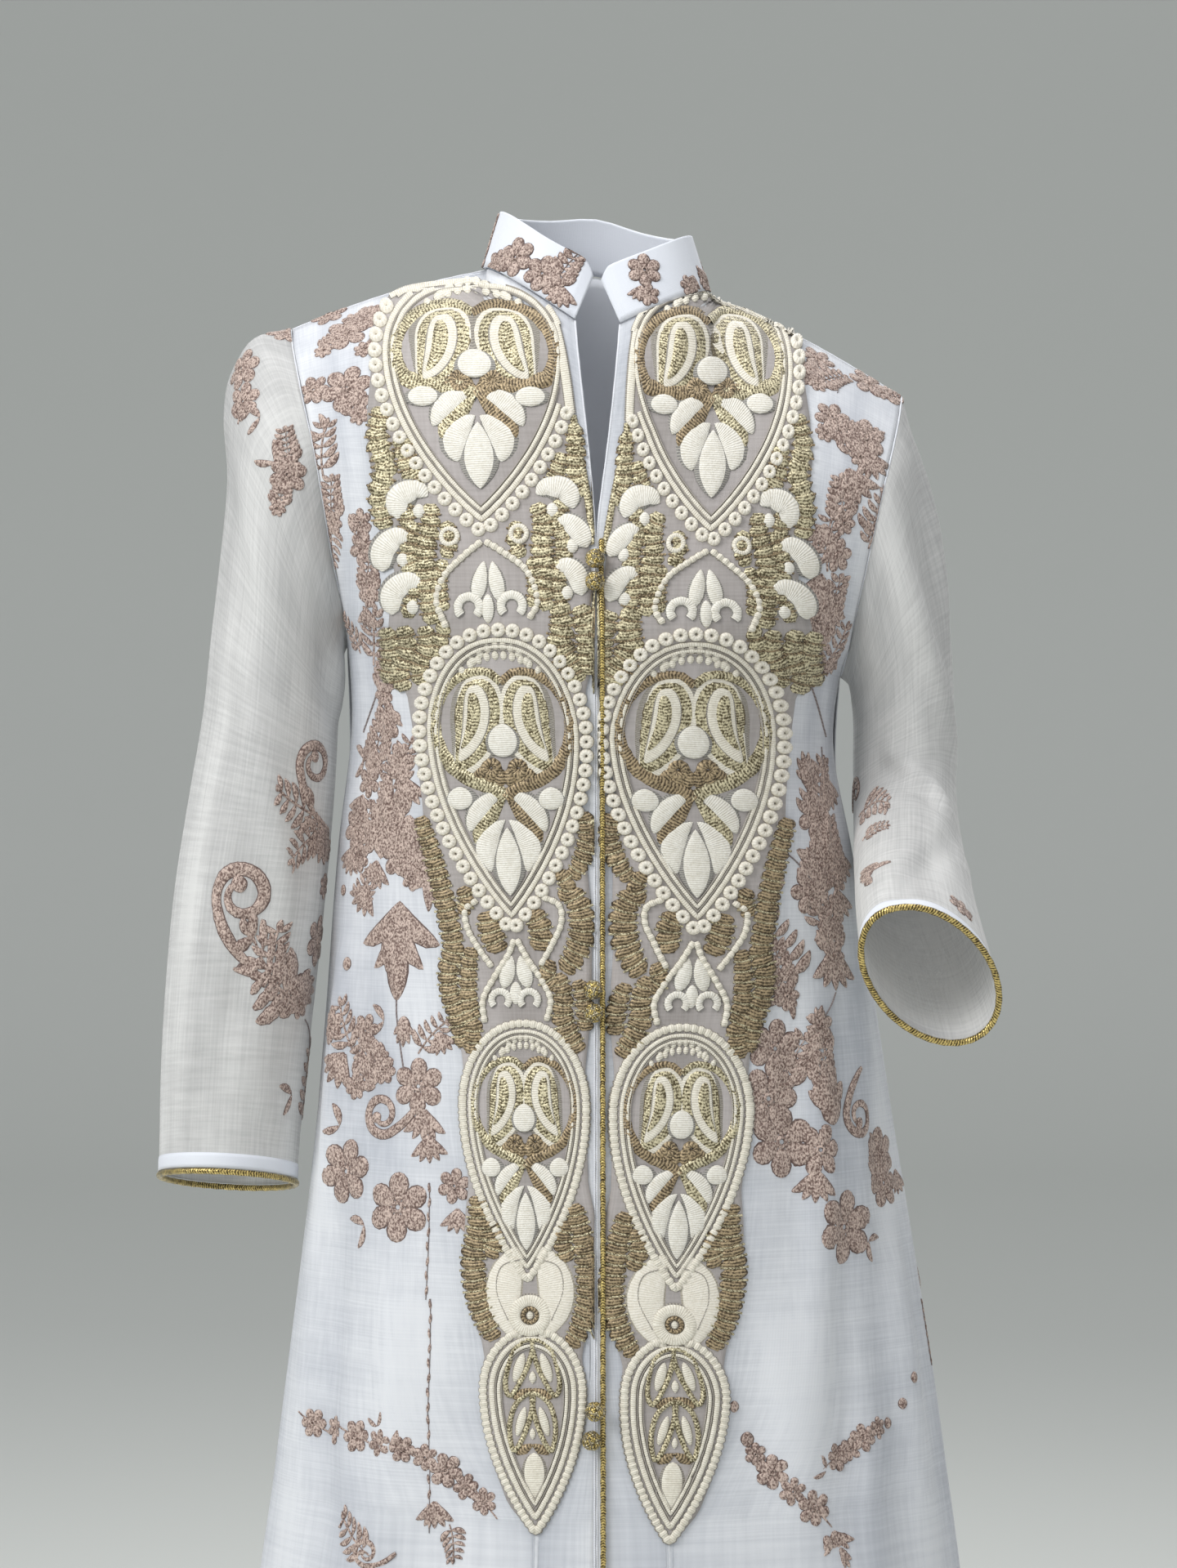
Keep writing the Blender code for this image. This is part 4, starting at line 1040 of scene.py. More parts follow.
def petal(hoop, start, end, wide_mm, finish, high_mm=1.3, bow=0.0, fat=1.0, steps=9, across=4,
          full=0.75, **more):
    """A satin petal from start to end. bow bends it sideways; fat under 1 is fuller near its start."""
    start, end = np.array(start, float), np.array(end, float)
    way = end - start
    share = (1 - np.cos(math.pi * np.arange(steps) / (steps - 1))) / 2
    sideways = np.array([-way[1], way[0]]) * bow
    path = start + way * share[:, None] + sideways * (4 * share * (1 - share))[:, None]
    wide = wide_mm * np.sin(math.pi * share ** fat) ** full
    ribbon(hoop, path, np.maximum(wide, 0.02), high_mm, finish, across=across, **more)


def dot(hoop, px, py, wide_mm, tall_mm, finish, high_mm=1.4, **more):
    half = tall_mm / 2 / more.get("pixel_mm", CHEST_PIXEL_MM)
    petal(hoop, (px, py - half), (px, py + half), wide_mm, finish, high_mm, full=0.5, steps=9, **more)


def circle(px, py, radius, start=0.0, end=360.0, steps=12, tall=1.0):
    """Points on a circle; without its last point when it closes."""
    closed = abs(end - start) >= 360.0
    angles = np.radians(start + (end - start) * np.arange(steps + (0 if closed else 1)) / steps)
    return np.stack([px + radius * np.cos(angles), py + radius * tall * np.sin(angles)], axis=1)


def ring(hoop, px, py, outer_mm, band_mm, finish, high_mm=1.5, steps=12, across=4, **more):
    radius = (outer_mm - band_mm) / 2 / more.get("pixel_mm", CHEST_PIXEL_MM)
    ribbon(hoop, circle(px, py, radius, steps=steps), band_mm, high_mm, finish, across, True, **more)


# %% Even places along a curve
def along_path(points, count=None, pitch_px=None):
    """Even places along a smooth curve through a few points."""
    points = np.array(points, float)
    fine = finer(points[:, None, :], 12)[:, 0, :] if len(points) > 2 else points
    long = distances(fine)[-1]
    count = count or max(2, int(round(long / pitch_px)) + 1)
    return spread(fine, np.linspace(0.0, long, count))


def loop(points, pitch_px):
    """Even places round a smooth closed curve."""
    fine = finer(np.array(points, float)[:, None, :], 10, 0, True)[:, 0, :]
    fine = np.vstack([fine, fine[:1]])
    long = distances(fine)[-1]
    return spread(fine, np.linspace(0.0, long, max(8, int(long / pitch_px)), endpoint=False))


def rope(hoop, points, wide_mm, finish, high_mm=1.5, closed=False, lobe_mm=2.2, slant=0.55,
         smooth=True, deep=0.40):
    """A twisted line of stitches through a few points."""
    path = along_path(points, pitch_px=ROPE_STEP_MM / CHEST_PIXEL_MM) if smooth else points
    ribbon(hoop, path, wide_mm, high_mm, finish, 4, closed, lobe_mm=lobe_mm, lobe_deep=deep,
           lobe_slant=slant)


print("strips are ready for", ", ".join(PANEL_FINISHES))

# %% [markdown]
# ## The medallions
#
# Each front carries four drops on one axis, three with a pair of paisleys over
# a tulip, and a narrow one at the end. The drop, the paisley and the petals are
# each one formula. The same drop is drawn at four sizes, and its contents are
# placed by shares of its width and its height.

# %% Drops
# Top and tip as photo pixels, half width in pixels, squareness, where it is widest, lift of what is in it.
DROPS = [dict(zip(("top_x", "top_y", "tip_x", "tip_y", "half_px", "squareness", "widest", "lift_share"), row))
         for row in rows("""
577 322 591 662 131 0.80 0.34 0.07
610 762 628 1149 110 0.92 0.36 0
640 1246 646 1575 82 0.95 0.33 0
651 1621 656 1884 67 1 0.31 0
""")]
DROP_TAPER = 0.80
BEAD_MM, BEAD_BAND_MM = 8.9, 4.4


def drop_outline(drop, inset_px, steps=30):
    """The drop's edge, right side down to the tip and left side back up, moved in by inset_px."""
    half, tall, widest = drop["half_px"], drop["tip_y"] - drop["top_y"], drop["widest"]
    upper = [(half * math.sin(a) ** drop["squareness"], tall * widest * (1 - math.cos(a)))
             for a in np.linspace(0, math.pi / 2, steps // 2, endpoint=False)]
    lower = [(half * math.cos(math.pi * s / 2) ** DROP_TAPER, tall * (widest + (1 - widest) * s))
             for s in np.linspace(0, 1, steps) ** 0.9]
    edge = np.array(upper + lower)
    along = np.gradient(edge, axis=0)
    along[0] = (1.0, 0.0)
    along = unit(along)
    moved = edge + inset_px * np.stack([-along[:, 1], along[:, 0]], axis=1)
    kept = moved[(moved[:, 0] > 0.5) | (moved[:, 1] < tall / 2)]
    kept[0, 0] = 0.0
    slope = (kept[-1] - kept[-2]) / (kept[-2, 0] - kept[-1, 0])
    right = np.vstack([kept, kept[-1] + slope * kept[-1, 0]])
    way = np.vstack([right, right[-2:0:-1] * (-1, 1)])
    leaning = (drop["tip_x"] - drop["top_x"]) / tall
    return np.stack([drop["top_x"] + leaning * way[:, 1] + way[:, 0], drop["top_y"] + way[:, 1]], axis=1)


def inside(drop, across, down):
    """A place in a drop: across -1 to 1 of its half width, down 0 to 1 of its height."""
    down = down - drop["lift_share"] * float(np.interp(down, (0.42, 0.52, 0.80, 1.0), (0, 1, 1, 0)))
    axis = drop["top_x"] + (drop["tip_x"] - drop["top_x"]) * down
    return axis + across * drop["half_px"], drop["top_y"] + (drop["tip_y"] - drop["top_y"]) * down


# %% A paisley
PAISLEY_HEAD, PAISLEY_TAIL = np.array((0.27, 0.166)), np.array((0.53, 0.490))
# Width, how far the layer is drawn in, how far it is raised in millimetres, finish.
PAISLEY_LAYERS = ((0.74, 0.0, 0.0, CREAM), (0.58, 0.07, 0.6, GOLD), (0.38, 0.16, 1.1, CREAM),
                  (0.18, 0.28, 1.7, GOLD))
PAISLEY_RING = {"across": 0.75, "middle": 0.328, "tall": 0.184, "wide": 0.16, "dip": 0.045}


def paisley(hoop, drop, side):
    """A paisley of padded layers, each smaller than the last, in half of a gold ring."""
    half_mm, bow = drop["half_px"] * CHEST_PIXEL_MM, PAISLEY_RING
    for wide, drawn, base, finish in PAISLEY_LAYERS:
        start = PAISLEY_HEAD + (PAISLEY_TAIL - PAISLEY_HEAD) * drawn * 0.6
        end = PAISLEY_TAIL + (PAISLEY_HEAD - PAISLEY_TAIL) * drawn
        petal(hoop, inside(drop, side * start[0], start[1]), inside(drop, side * end[0], end[1]),
              wide * half_mm, finish, 1.0, bow=0.12 * side, fat=0.68, steps=14, across=6, full=0.55,
              base_mm=base, square=5.0)
    turns = np.radians(np.linspace(0, 180, 30))
    across = bow["across"] * np.sin(turns) ** 0.8
    down = bow["middle"] - bow["tall"] * np.cos(turns) + bow["dip"] * np.exp(-across * 9)
    places = [inside(drop, side * a, d) for a, d in zip(across, down)]
    wide = bow["wide"] * half_mm * (1.0 - 0.25 * np.cos(turns))
    rope(hoop, np.array(places), wide, GOLD if side < 0 else BROWN, 1.9, False, 2.4, 0.8, smooth=False,
         deep=0.3)


# %% What else is in a drop
# From, to, width, bow, finish on the left and on the right, how far it is raised in millimetres.
LEAVES = (
    ((0.02, 0.535), (0.42, 0.662), 0.27, -0.13, (WHITE, WHITE), 0.3),
    ((0.01, 0.560), (0.34, 0.712), 0.25, -0.10, (GOLD, BROWN), 0.0),
    ((0.02, 0.625), (0.20, 0.790), 0.34, -0.20, (WHITE, WHITE), 0.3),
)
# Across, from and to down the drop, width, fullness, how far it is raised.
OVALS = rows("""
0 0.320 0.425 0.44 0.45 1.2
0 0.648 0.865 0.38 0.75 0.9
-0.5 0.520 0.592 0.38 0.45 0.6
0.5 0.520 0.592 0.38 0.45 0.6
""")


def fill_drop(hoop, drop):
    """Paisleys, rosette, leaves, tulip, ovals and the lace at the top."""
    half_mm = drop["half_px"] * CHEST_PIXEL_MM

    def sewn(start, end, wide, finish, high, **more):
        petal(hoop, inside(drop, *start), inside(drop, *end), wide * half_mm, finish, high, **more)

    for side in (-1, 1):
        paisley(hoop, drop, side)
        ring(hoop, *inside(drop, side * 0.15, 0.462), 0.26 * half_mm, 0.12 * half_mm, BROWN, 2.0, 10)
        for start, end, wide, bow, finish, base in LEAVES:
            sewn((side * start[0], start[1]), (side * end[0], end[1]), wide, finish[side > 0], 1.6,
                 bow=bow * side, fat=1.2, steps=11, across=5, full=0.6, base_mm=base)
    for s in np.linspace(-0.34, 0.34, 6):
        sewn((s * 0.55, 0.462), (s, 0.522 - 0.25 * s * s), 0.17, BROWN, 1.7, full=0.5, steps=7)
    for across, down, to, wide, full, base in OVALS:
        sewn((across, down), (across, to), wide, WHITE, 1.7, fat=1.1, full=full, steps=12, across=6,
             base_mm=base)
    for row, (down, wide) in enumerate(((0.118, 0.10), (0.088, 0.12))):
        for s in np.linspace(-0.40, 0.40, 10 - 2 * row):
            sewn((s * (1 - 0.3 * row), down + 0.30 * s * s),
                 (s * (1.1 - 0.3 * row), down - 0.030 + 0.30 * s * s), wide, CREAM, 1.4, full=0.5, steps=6,
                 across=3)


def beads(hoop, path, closed=True):
    """Ring beads along a path, evenly spaced."""
    path = np.vstack([path, path[:1]]) if closed else path
    long = distances(path)[-1]
    count = int(round(long * CHEST_PIXEL_MM / BEAD_MM))
    for px, py in spread(path, np.linspace(0, long, count, endpoint=not closed)):
        ring(hoop, px, py, BEAD_MM * 1.06, BEAD_BAND_MM, RINGS, 2.6, square=3.0)


# %% The four drops of a panel
SLIT_PX, SLIT_END_PY = 684, 506
SHOULDER_PX = (440, 466, 484, 500, 540, 585, 640, 690)
SHOULDER_PY = (420, 384, 368, 362, 356, 352, 352, 396)
# For each drop its two frame bands: how far in, in pixels, and how wide, in millimetres.
FRAME_BANDS = (((21.5, 4.6), (30.0, 3.6)), ((21.5, 4.2), (29.5, 3.2)), ((16.5, 3.4), (23.0, 2.6)),
               ((17.5, 4.4), (26.0, 3.0)))
BAND_LOBE_MM = 1.7


def runs_below(line, k):
    """A drop's edge in pieces: the first drop is cut off by the shoulder and by the slit."""
    if k:
        return [line]
    kept = (line[:, 1] > np.interp(line[:, 0], SHOULDER_PX, SHOULDER_PY))
    kept &= (line[:, 0] < SLIT_PX) | (line[:, 1] > SLIT_END_PY)
    first = int(np.argmin(kept))
    line, kept = np.roll(line, -first, axis=0), np.roll(kept, -first)
    runs = [[]]
    for place, keep in zip(line, kept):
        if keep:
            runs[-1].append(place)
        elif runs[-1]:
            runs.append([])
    return [np.array(run) for run in runs if len(run) > 3]


def medallions(hoop):
    for k, drop in enumerate(DROPS):
        bands = [(inset, wide, 1.6, CREAM, BAND_LOBE_MM) for inset, wide in FRAME_BANDS[k]]
        bands += [(inset + wide / CHEST_PIXEL_MM / 2 + 0.4, 0.7, 1.5, GREY, 0)
                  for inset, wide in FRAME_BANDS[k]]
        for inset, wide, high, finish, lobe in bands:
            for line in runs_below(drop_outline(drop, inset, 64), k):
                ribbon(hoop, line, wide, high, finish, 4, k > 0, lobe_mm=lobe, lobe_deep=0.22, square=4.0)
        if k < 2:
            for line in runs_below(drop_outline(drop, 9, 64), k):
                beads(hoop, line, k > 0)
        else:
            rope(hoop, drop_outline(drop, 7, 90), 6.8, CREAM, 2.2, True, 4.2, 0.0, smooth=False, deep=0.75)
        if k < 3:
            fill_drop(hoop, drop)


print("drops", len(DROPS), "leaves", len(LEAVES), "ovals", len(OVALS))

# %% [markdown]
# ## Between the drops
#
# Comma petals, buds, eyelets, strings of cream beads and piles of gold bars fill
# the gaps and give the panel its scalloped edge.

# %% Places between the drops
# The ground's edge: photo row, outer and inner photo column.
GROUND_EDGE = list(zip(*rows("""
352 484 588, 372 472 634, 390 466 668, 402 462 684, 440 456 690, 506 450 700, 560 452 708, 620 466 716,
655 476 720, 700 484 722, 735 484 724, 752 478 725, 790 476 725, 822 484 722, 850 500 716, 900 508 712,
980 518 706, 1010 520 708, 1060 536 718, 1100 542 722, 1160 544 724, 1200 552 724, 1250 560 722,
1290 566 718, 1310 568 716, 1400 570 718, 1450 574 720, 1490 570 728, 1560 568 730, 1600 574 726,
1640 590 716, 1660 594 712, 1700 588 716, 1780 600 704, 1840 622 684, 1876 650 662
""")))
# Comma petals: width, the place of the knob, then the curve.
COMMAS = rows("""
18.5 514 627 488 636 490 610 512 601 524 609
18.5 495 686 470 700 472 674 488 658 504 660
18 507 743 482 752 484 726 502 712 518 716
17.5 676 626 702 624 692 602 670 598 656 606
16 700 670 718 672 708 652 692 640 682 644
16 694 727 712 730 706 706 692 694 680 698
""")
# Piles of satin bars, for each finish: width, then the curve.
COLUMNS = {GOLD: rows("""
17 467 500 463 538 472 572 466 606 472 648
15 490 536 500 570 514 600
16 528 618 527 645 521 676 523 708 527 740 531 764
15 495 766 500 792 491 820 497 846
14 521 766 524 790 514 816 517 838
13.5 702 520 704 552 704 584 712 610
12 688 556 681 580 668 604
16 656 618 665 642 663 670 667 700 666 724 670 748
18 684 742 688 764 686 790 698 814 708 836
17 709 742 718 768 720 800 722 826
12 545 640 552 660 546 684
12 634 640 630 660 638 684
12 545 762 540 784 534 804
12 492 600 500 640 494 660
12 690 600 684 640 694 664
14 474 768 480 800 476 836
13 508 640 500 676 506 712 500 756
13 682 636 690 676 684 712 690 750
12 544 686 538 716 544 748
12 652 684 656 716 652 744
"""), BROWN: rows("""
14.5 516 1000 530 1044 542 1088 551 1131 556 1160 550 1186 552 1216 560 1244 568 1282
17 596 1116 602 1142 612 1166
13 578 1160 574 1188 574 1222 582 1248
13.5 714 994 719 1024 712 1052 700 1076
18 698 1088 710 1114 712 1142 704 1168 690 1190
16 652 1114 662 1138 660 1164
15 682 1192 689 1218 688 1244 696 1264 710 1288
13 707 1200 715 1228 716 1262
16.5 585 1464 586 1502 580 1540 583 1576 591 1608 606 1640
16.5 702 1474 713 1518 719 1556 719 1590 710 1624 698 1648
13 598 1494 606 1520 600 1540
13 692 1494 688 1520 696 1544
12 676 1176 668 1196 678 1212
12 566 1086 572 1102 566 1120
12 684 1066 694 1082 690 1104
13 572 1236 580 1258 576 1290
""")}
# Strings of beads: width, then the curve.
STRANDS = rows("""
5.6 590 664 568 682 545 706 536 736 548 768
5.6 594 664 614 676 645 700 658 736 648 758
5.2 585 1102 571 1114 573 1136 586 1160 603 1184
5.2 664 1098 684 1108 687 1130 676 1156 662 1182
5.2 630 1150 622 1170 606 1196 592 1224 594 1252
5.2 633 1150 646 1174 662 1198 674 1224 669 1250
""")
SPIRALS = ((551, 658), (635, 655))
# Place, outer width and width of the band.
EYELETS = ((575, 744, 20.5, 7.4), (627, 742, 20.5, 7.4), (613, 1224, 16.5, 6.0), (648, 1224, 16.5, 6.0))
BUDS = ((632, 1170, 40), (598, 688, 50))
COLUMN_LOBE_MM, COLUMN_STEP_MM = 6.6, 0.8
print("gold columns", sum(len(columns) for columns in COLUMNS.values()))


# %% Petals, bars and strings of a panel
def gold_column(hoop, points, wide_mm, finish):
    """A pile of satin bars along a curve with a thin thread between each two: gold between brown bars, and
    brown between gold bars, there as painted shade in the notches.
    """
    path = along_path(points, pitch_px=COLUMN_STEP_MM / CHEST_PIXEL_MM)
    share = np.linspace(0, 1, len(path))
    wide = wide_mm * (0.62 + 0.38 * np.sin(math.pi * share) ** 0.5)
    ribbon(hoop, path, wide, 1.7, finish, 6, lobe_mm=COLUMN_LOBE_MM, lobe_deep=0.75, lobe_slant=0.12,
           square=4.0)
    steps = max(1, int(round(len(path) * COLUMN_STEP_MM / COLUMN_LOBE_MM)))
    for k in range(1, steps):
        here = int(k * (len(path) - 1) / steps)
        way = path[min(here + 1, len(path) - 1)] - path[here - 1]
        aside = np.array([-way[1], way[0]]) / np.linalg.norm(way) * wide[here] / 2 / CHEST_PIXEL_MM
        line = np.array([path[here] - aside, path[here] + way * 0.5, path[here] + aside])
        # Between gold bars the line is brown: painted shade in the notch.
        ribbon(hoop, line, 1.5, 0.6, BROWN if finish == GOLD else GOLD, 2, base_mm=1.0)


def between_drops(hoop):
    for finish, columns in COLUMNS.items():
        for wide, *curve in columns:
            gold_column(hoop, np.reshape(curve, (-1, 2)), wide, finish)
    for wide, knob_x, knob_y, *curve in COMMAS:
        path = along_path(np.reshape(curve, (-1, 2)), 14)
        fullness = 0.08 + np.sin(math.pi * np.linspace(0, 1, len(path)) ** 0.85) ** 0.5
        ribbon(hoop, path, wide * fullness, 2.4, WHITE, 6, square=2.5)
        dot(hoop, knob_x, knob_y, 10.0, 9.0, WHITE, 2.2)
    for px, py in SPIRALS:
        ring(hoop, px, py, 14.0, 4.4, CREAM, 1.9, 16)
        dot(hoop, px, py, 4.0, 4.0, GOLD, 1.6)
    for px, py, outer, band in EYELETS:
        arc = circle(px, py, (outer - band) / 2 / CHEST_PIXEL_MM, 135, 405, 20)
        ribbon(hoop, arc, band, 2.2, WHITE, 5, lobe_mm=2.4, lobe_deep=0.3)
    for wide, *curve in STRANDS:
        rope(hoop, np.reshape(curve, (-1, 2)), wide, CREAM, 2.8, lobe_mm=4.6, slant=0.0, deep=0.6)
    for x, y, tall in BUDS:
        for side in (-1, 1):
            petal(hoop, (x + 5 * side, y), (x + 15 * side, y + tall), 12.5, WHITE, 2.0, fat=1.2, full=0.55)
        petal(hoop, (x, y + tall * 0.8), (x, y + tall * 1.5), 10.0, WHITE, 2.0, full=0.5)


# %% The heart, the eyelet and the net in the last drop
EYELET_PX, EYELET_PY, NET_PX = 649, 1610, 652
STALK = ((6, -70), (34, -60), (40, -30), (26, 6))
NET_CELLS = (((0, 1640), (22, 1652), (33, 1690), (26, 1708), (6, 1672)),
             ((0, 1706), (20, 1718), (28, 1748), (22, 1776), (5, 1742)))
# From and to, width, finish and lobes of the petals beside the net's middle.
NET_PETALS = (
    ((11, 1656), (22, 1692), 8.0, CREAM, 0.0), ((9, 1722), (19, 1758), 7.0, CREAM, 0.0),
    ((0, 1700), (24, 1712), 7.0, BROWN, 1.8), ((0, 1768), (20, 1780), 7.0, BROWN, 1.8),
)


def low_end(hoop):
    px, py = EYELET_PX, EYELET_PY
    for side in (-1, 1):
        petal(hoop, (px + 8 * side, py - 84), (px + 12 * side, py + 28), 25, RINGS, 1.5, bow=-0.20 * side,
              fat=0.95, steps=16, across=8, full=0.5, lobe_mm=3.0, lobe_deep=0.3)
        rope(hoop, [(px + x * side, py + y) for x, y in STALK], 1.3, GREY, 1.9)
    ring(hoop, px, py, 28, 9.5, CREAM, 2.1, 28, 5, square=3.0)
    ring(hoop, px, py, 12, 3.4, BROWN, 2.0, 18)
    dot(hoop, px, py, 5.5, 5.5, CREAM, 1.6)
    for side in (-1, 1):
        for cell in NET_CELLS:
            edge = loop([(NET_PX + x * side, y) for x, y in cell], 2.4)
            rope(hoop, edge, 3.8, GOLD, 1.9, True, 1.8, 0.8, smooth=False, deep=0.25)
        for (x, y), (to_x, to_y), wide, finish, lobe in NET_PETALS:
            petal(hoop, (NET_PX + x * side, y), (NET_PX + to_x * side, to_y), wide, finish, 1.6, full=0.5,
                  lobe_mm=lobe)
    petal(hoop, (NET_PX, 1694), (NET_PX, 1678), 6.0, CREAM, 1.5)
    petal(hoop, (NET_PX, 1762), (NET_PX, 1748), 5.0, CREAM, 1.5)
    petal(hoop, (654, 1778), (655, 1836), 17.0, CREAM, 1.8, fat=0.8, steps=11, across=6, full=0.6)


# %% The edge of the slit and the bands over the shoulder
BINDING = ((678, 398), (686, 430), (693, 470), (698, 508))
GOLD_EDGE = ((701, 510), (708, 550), (717, 600), (724, 648), (727, 668))


def slit_and_shoulder(hoop):
    ribbon(hoop, along_path(BINDING, pitch_px=4), 7.0, 1.2, CREAM, 5, square=4.0)
    rope(hoop, GOLD_EDGE, 5.0, GOLD, 1.6, lobe_mm=3.2, slant=0.4)
    for lower, wide in ((0, 4.2), (9, 3.0)):
        band = [(478 + lower, 366), (500, 356 + lower / 3), (540, 350 + lower), (585, 346 + lower)]
        ribbon(hoop, along_path(band, pitch_px=5), wide, 1.3, CREAM, 4, square=3.0)
# %% [markdown]
# ## Laying a panel
#
# One design serves both fronts. The wearer's left panel is the same work turned
# over, a little lower and a little wider at the waist, as the photo shows.

# %% From the hoop to the cloth
# Photo row, centre of the viewer's left panel and of the right one, how much wider and lower.
PANEL_TURN = list(zip(*rows("""
360 577 866 0.89 8, 520 583 873 0.89 10, 655 591 868 0.95 12, 760 606 855 1.06 6, 900 610 853 1.10 2,
1145 628 853 1.06 3, 1250 639 836 1.08 5, 1350 642 833 1.11 8, 1575 646 826 1.06 12, 1700 653 825 1.03 11,
1884 656 818 1.03 12
""")))
GROUND_LIFT_MM, GROUND_THICK = 1.25, 0.0006
MOTIF_LIFT_MM = 1.55
GROUND_COLUMNS, GROUND_ROWS = 22, 150
SHORT_OF_CLOTH = 0.01      # a ray that misses ends this far before the middle plane
surfaces = {name: surface(name) for name in nets}
smooth_ways = {name: outward(name) for name in nets}


def smooth_normal(name, face, point):
    """The cloth's normal at a point, blended from the corners of the face it is on."""
    net, ways = nets[name], smooth_ways[name]
    columns = net.shape[1]
    r, c = divmod(face, columns if name in CLOSED else columns - 1)
    total = Vector((0, 0, 0))
    for rr, cc in ((r, c), (r, (c + 1) % columns), (r + 1, c), (r + 1, (c + 1) % columns)):
        x, y, z = net[rr, cc]
        near = (x - point.x) ** 2 + (y - point.y) ** 2 + (z - point.z) ** 2
        total += Vector(ways[rr, cc]) / (near + 1e-9)
    return total.normalized()


def down_the_ray(name, px, py, lift):
    """The place that a photo pixel shows on one piece of cloth, lifted off it."""
    start, way = sight(px, py)
    otherwise = start + way * (CAMERA_DISTANCE - SHORT_OF_CLOTH) / way.y
    point, face = met(surfaces[name], start, way, otherwise)
    return point + smooth_normal(name, face, point) * lift


def turned(px, py):
    """A place of the viewer's left panel, taken over to the right one."""
    centre, other, wider, lower = (np.interp(py, PANEL_TURN[0], line) for line in PANEL_TURN[1:])
    return other - (px - centre) * wider, py + lower


def lay_hoop(hoop, name, other_side, lift_mm):
    for vert in hoop.verts:
        px, py = turned(vert.co.x, vert.co.y) if other_side else (vert.co.x, vert.co.y)
        vert.co = down_the_ray(name, px, py, vert.co.z + lift_mm / 1000)
    bmesh.ops.remove_doubles(hoop, verts=hoop.verts, dist=MEET)


def finished(name, hoop, flip, finishes, slot, *replaced):
    """The hoop's mesh as a piece of its own."""
    if flip:
        bmesh.ops.reverse_faces(hoop, faces=hoop.faces)
    mesh = bpy.data.meshes.new(name)
    hoop.to_mesh(mesh)
    hoop.free()
    index = [face.material_index for face in mesh.polygons]
    thing = shown(name, mesh, finishes, slot, *replaced)
    mesh.polygons.foreach_set("material_index", index)
    print(name, len(mesh.polygons), "faces")
    return thing


def ground_net(name, other_side):
    heights, outer, inner = GROUND_EDGE
    net = []
    for py in np.linspace(heights[0], heights[-1], GROUND_ROWS):
        ends = np.interp(py, heights, inner), np.interp(py, heights, outer)
        places = [turned(px, py) if other_side else (px, py) for px in np.linspace(*ends, GROUND_COLUMNS)]
        net.append([tuple(down_the_ray(name, *place, GROUND_LIFT_MM / 1000)) for place in places])
    return np.array(net)


# %% Both panels
for word, side in (("right", False), ("left", True)):
    front = "front_" + word
    mesh = net_mesh("ground_" + word, ground_net(front, side), flip=side)
    ground = shown("applique_ground_" + word, mesh, ["mesh ground"], "applique", "applique_" + word,
                   thick=GROUND_THICK)
    hoop = new_hoop()
    for stitch_it in (medallions, between_drops, low_end, slit_and_shoulder):
        stitch_it(hoop)
    lay_hoop(hoop, front, side, MOTIF_LIFT_MM)
    motifs = finished("applique_stitches_" + word, hoop, not side, PANEL_FINISHES, "applique")
# %% [markdown]
# ## Flowers in chain stitch
#
# Rose-brown flowers are scattered over the body, the sleeves and the shoulders.
# Twelve motifs are stitched once, flat and in millimetres, such as a flower, a
# leafy frond, a curl, a palmette and a bell. Lists say where each one goes, how
# it is turned and how large it is.

# %% Motifs, in millimetres, x to the right and y down
ROSE, STEM = 0, 1
FLOWER_FINISHES = ["rose thread", "stem thread"]
MM = {"pixel_mm": 1.0}
CHAIN = {"lobe_mm": 2.6, "lobe_deep": 0.18, **MM}
LOOSE_CHAIN = {"lobe_mm": 2.6, "lobe_deep": 0.2, **MM}


def spoke(degrees):
    """One step in a direction."""
    return np.array([math.cos(math.radians(degrees)), math.sin(math.radians(degrees))])


def flower(hoop, x=0.0, y=0.0, radius=16.0, petals=6, start=-90.0):
    for k in range(petals):
        way, middle = spoke(start + 360.0 * k / petals), np.array([x, y])
        petal(hoop, middle + way * radius * 0.12, middle + way * radius, radius * 0.80, ROSE, 0.9, fat=1.35,
              full=0.5, steps=8, across=5, **CHAIN)
    ring(hoop, x, y, radius * 0.42, radius * 0.15, ROSE, 1.3, 9, 3, **MM)


def stalk(hoop, points, wide=1.6, finish=ROSE):
    path = along_path(points, pitch_px=1.6)
    ribbon(hoop, path, wide, 0.7, finish, 3, lobe_mm=2.4, lobe_deep=0.25, **MM)


def leaf(hoop, start, end, wide, bow=0.0, fat=1.1):
    petal(hoop, start, end, wide, ROSE, 0.9, bow, fat, 8, 5, 0.65, **CHAIN)


def curl(hoop, radius=11.0, wide=6.0, turns=1.25, tail=26.0):
    """A hooked band: it rises from its tail, turns over and ends in a knob."""
    angles = np.linspace(0.0, 2 * math.pi * turns, 34)
    reach = radius * (1.0 - 0.62 * angles / angles[-1])
    spiral = np.stack([-reach * np.cos(angles), -reach * np.sin(angles)], axis=1)
    way = np.linspace(1.0, 0.0, 10, endpoint=False)[:, None]
    path = np.vstack([np.hstack([-radius + 0.30 * tail * way ** 2, tail * way]), spiral])
    share = np.linspace(0.0, 1.0, len(path))
    ribbon(hoop, path, wide * (0.45 + 0.55 * np.sin(math.pi * share ** 0.6)), 1.0, ROSE, 5, **LOOSE_CHAIN)
    dot(hoop, path[-1][0], path[-1][1], wide * 1.1, wide * 1.1, ROSE, 1.1, **MM)


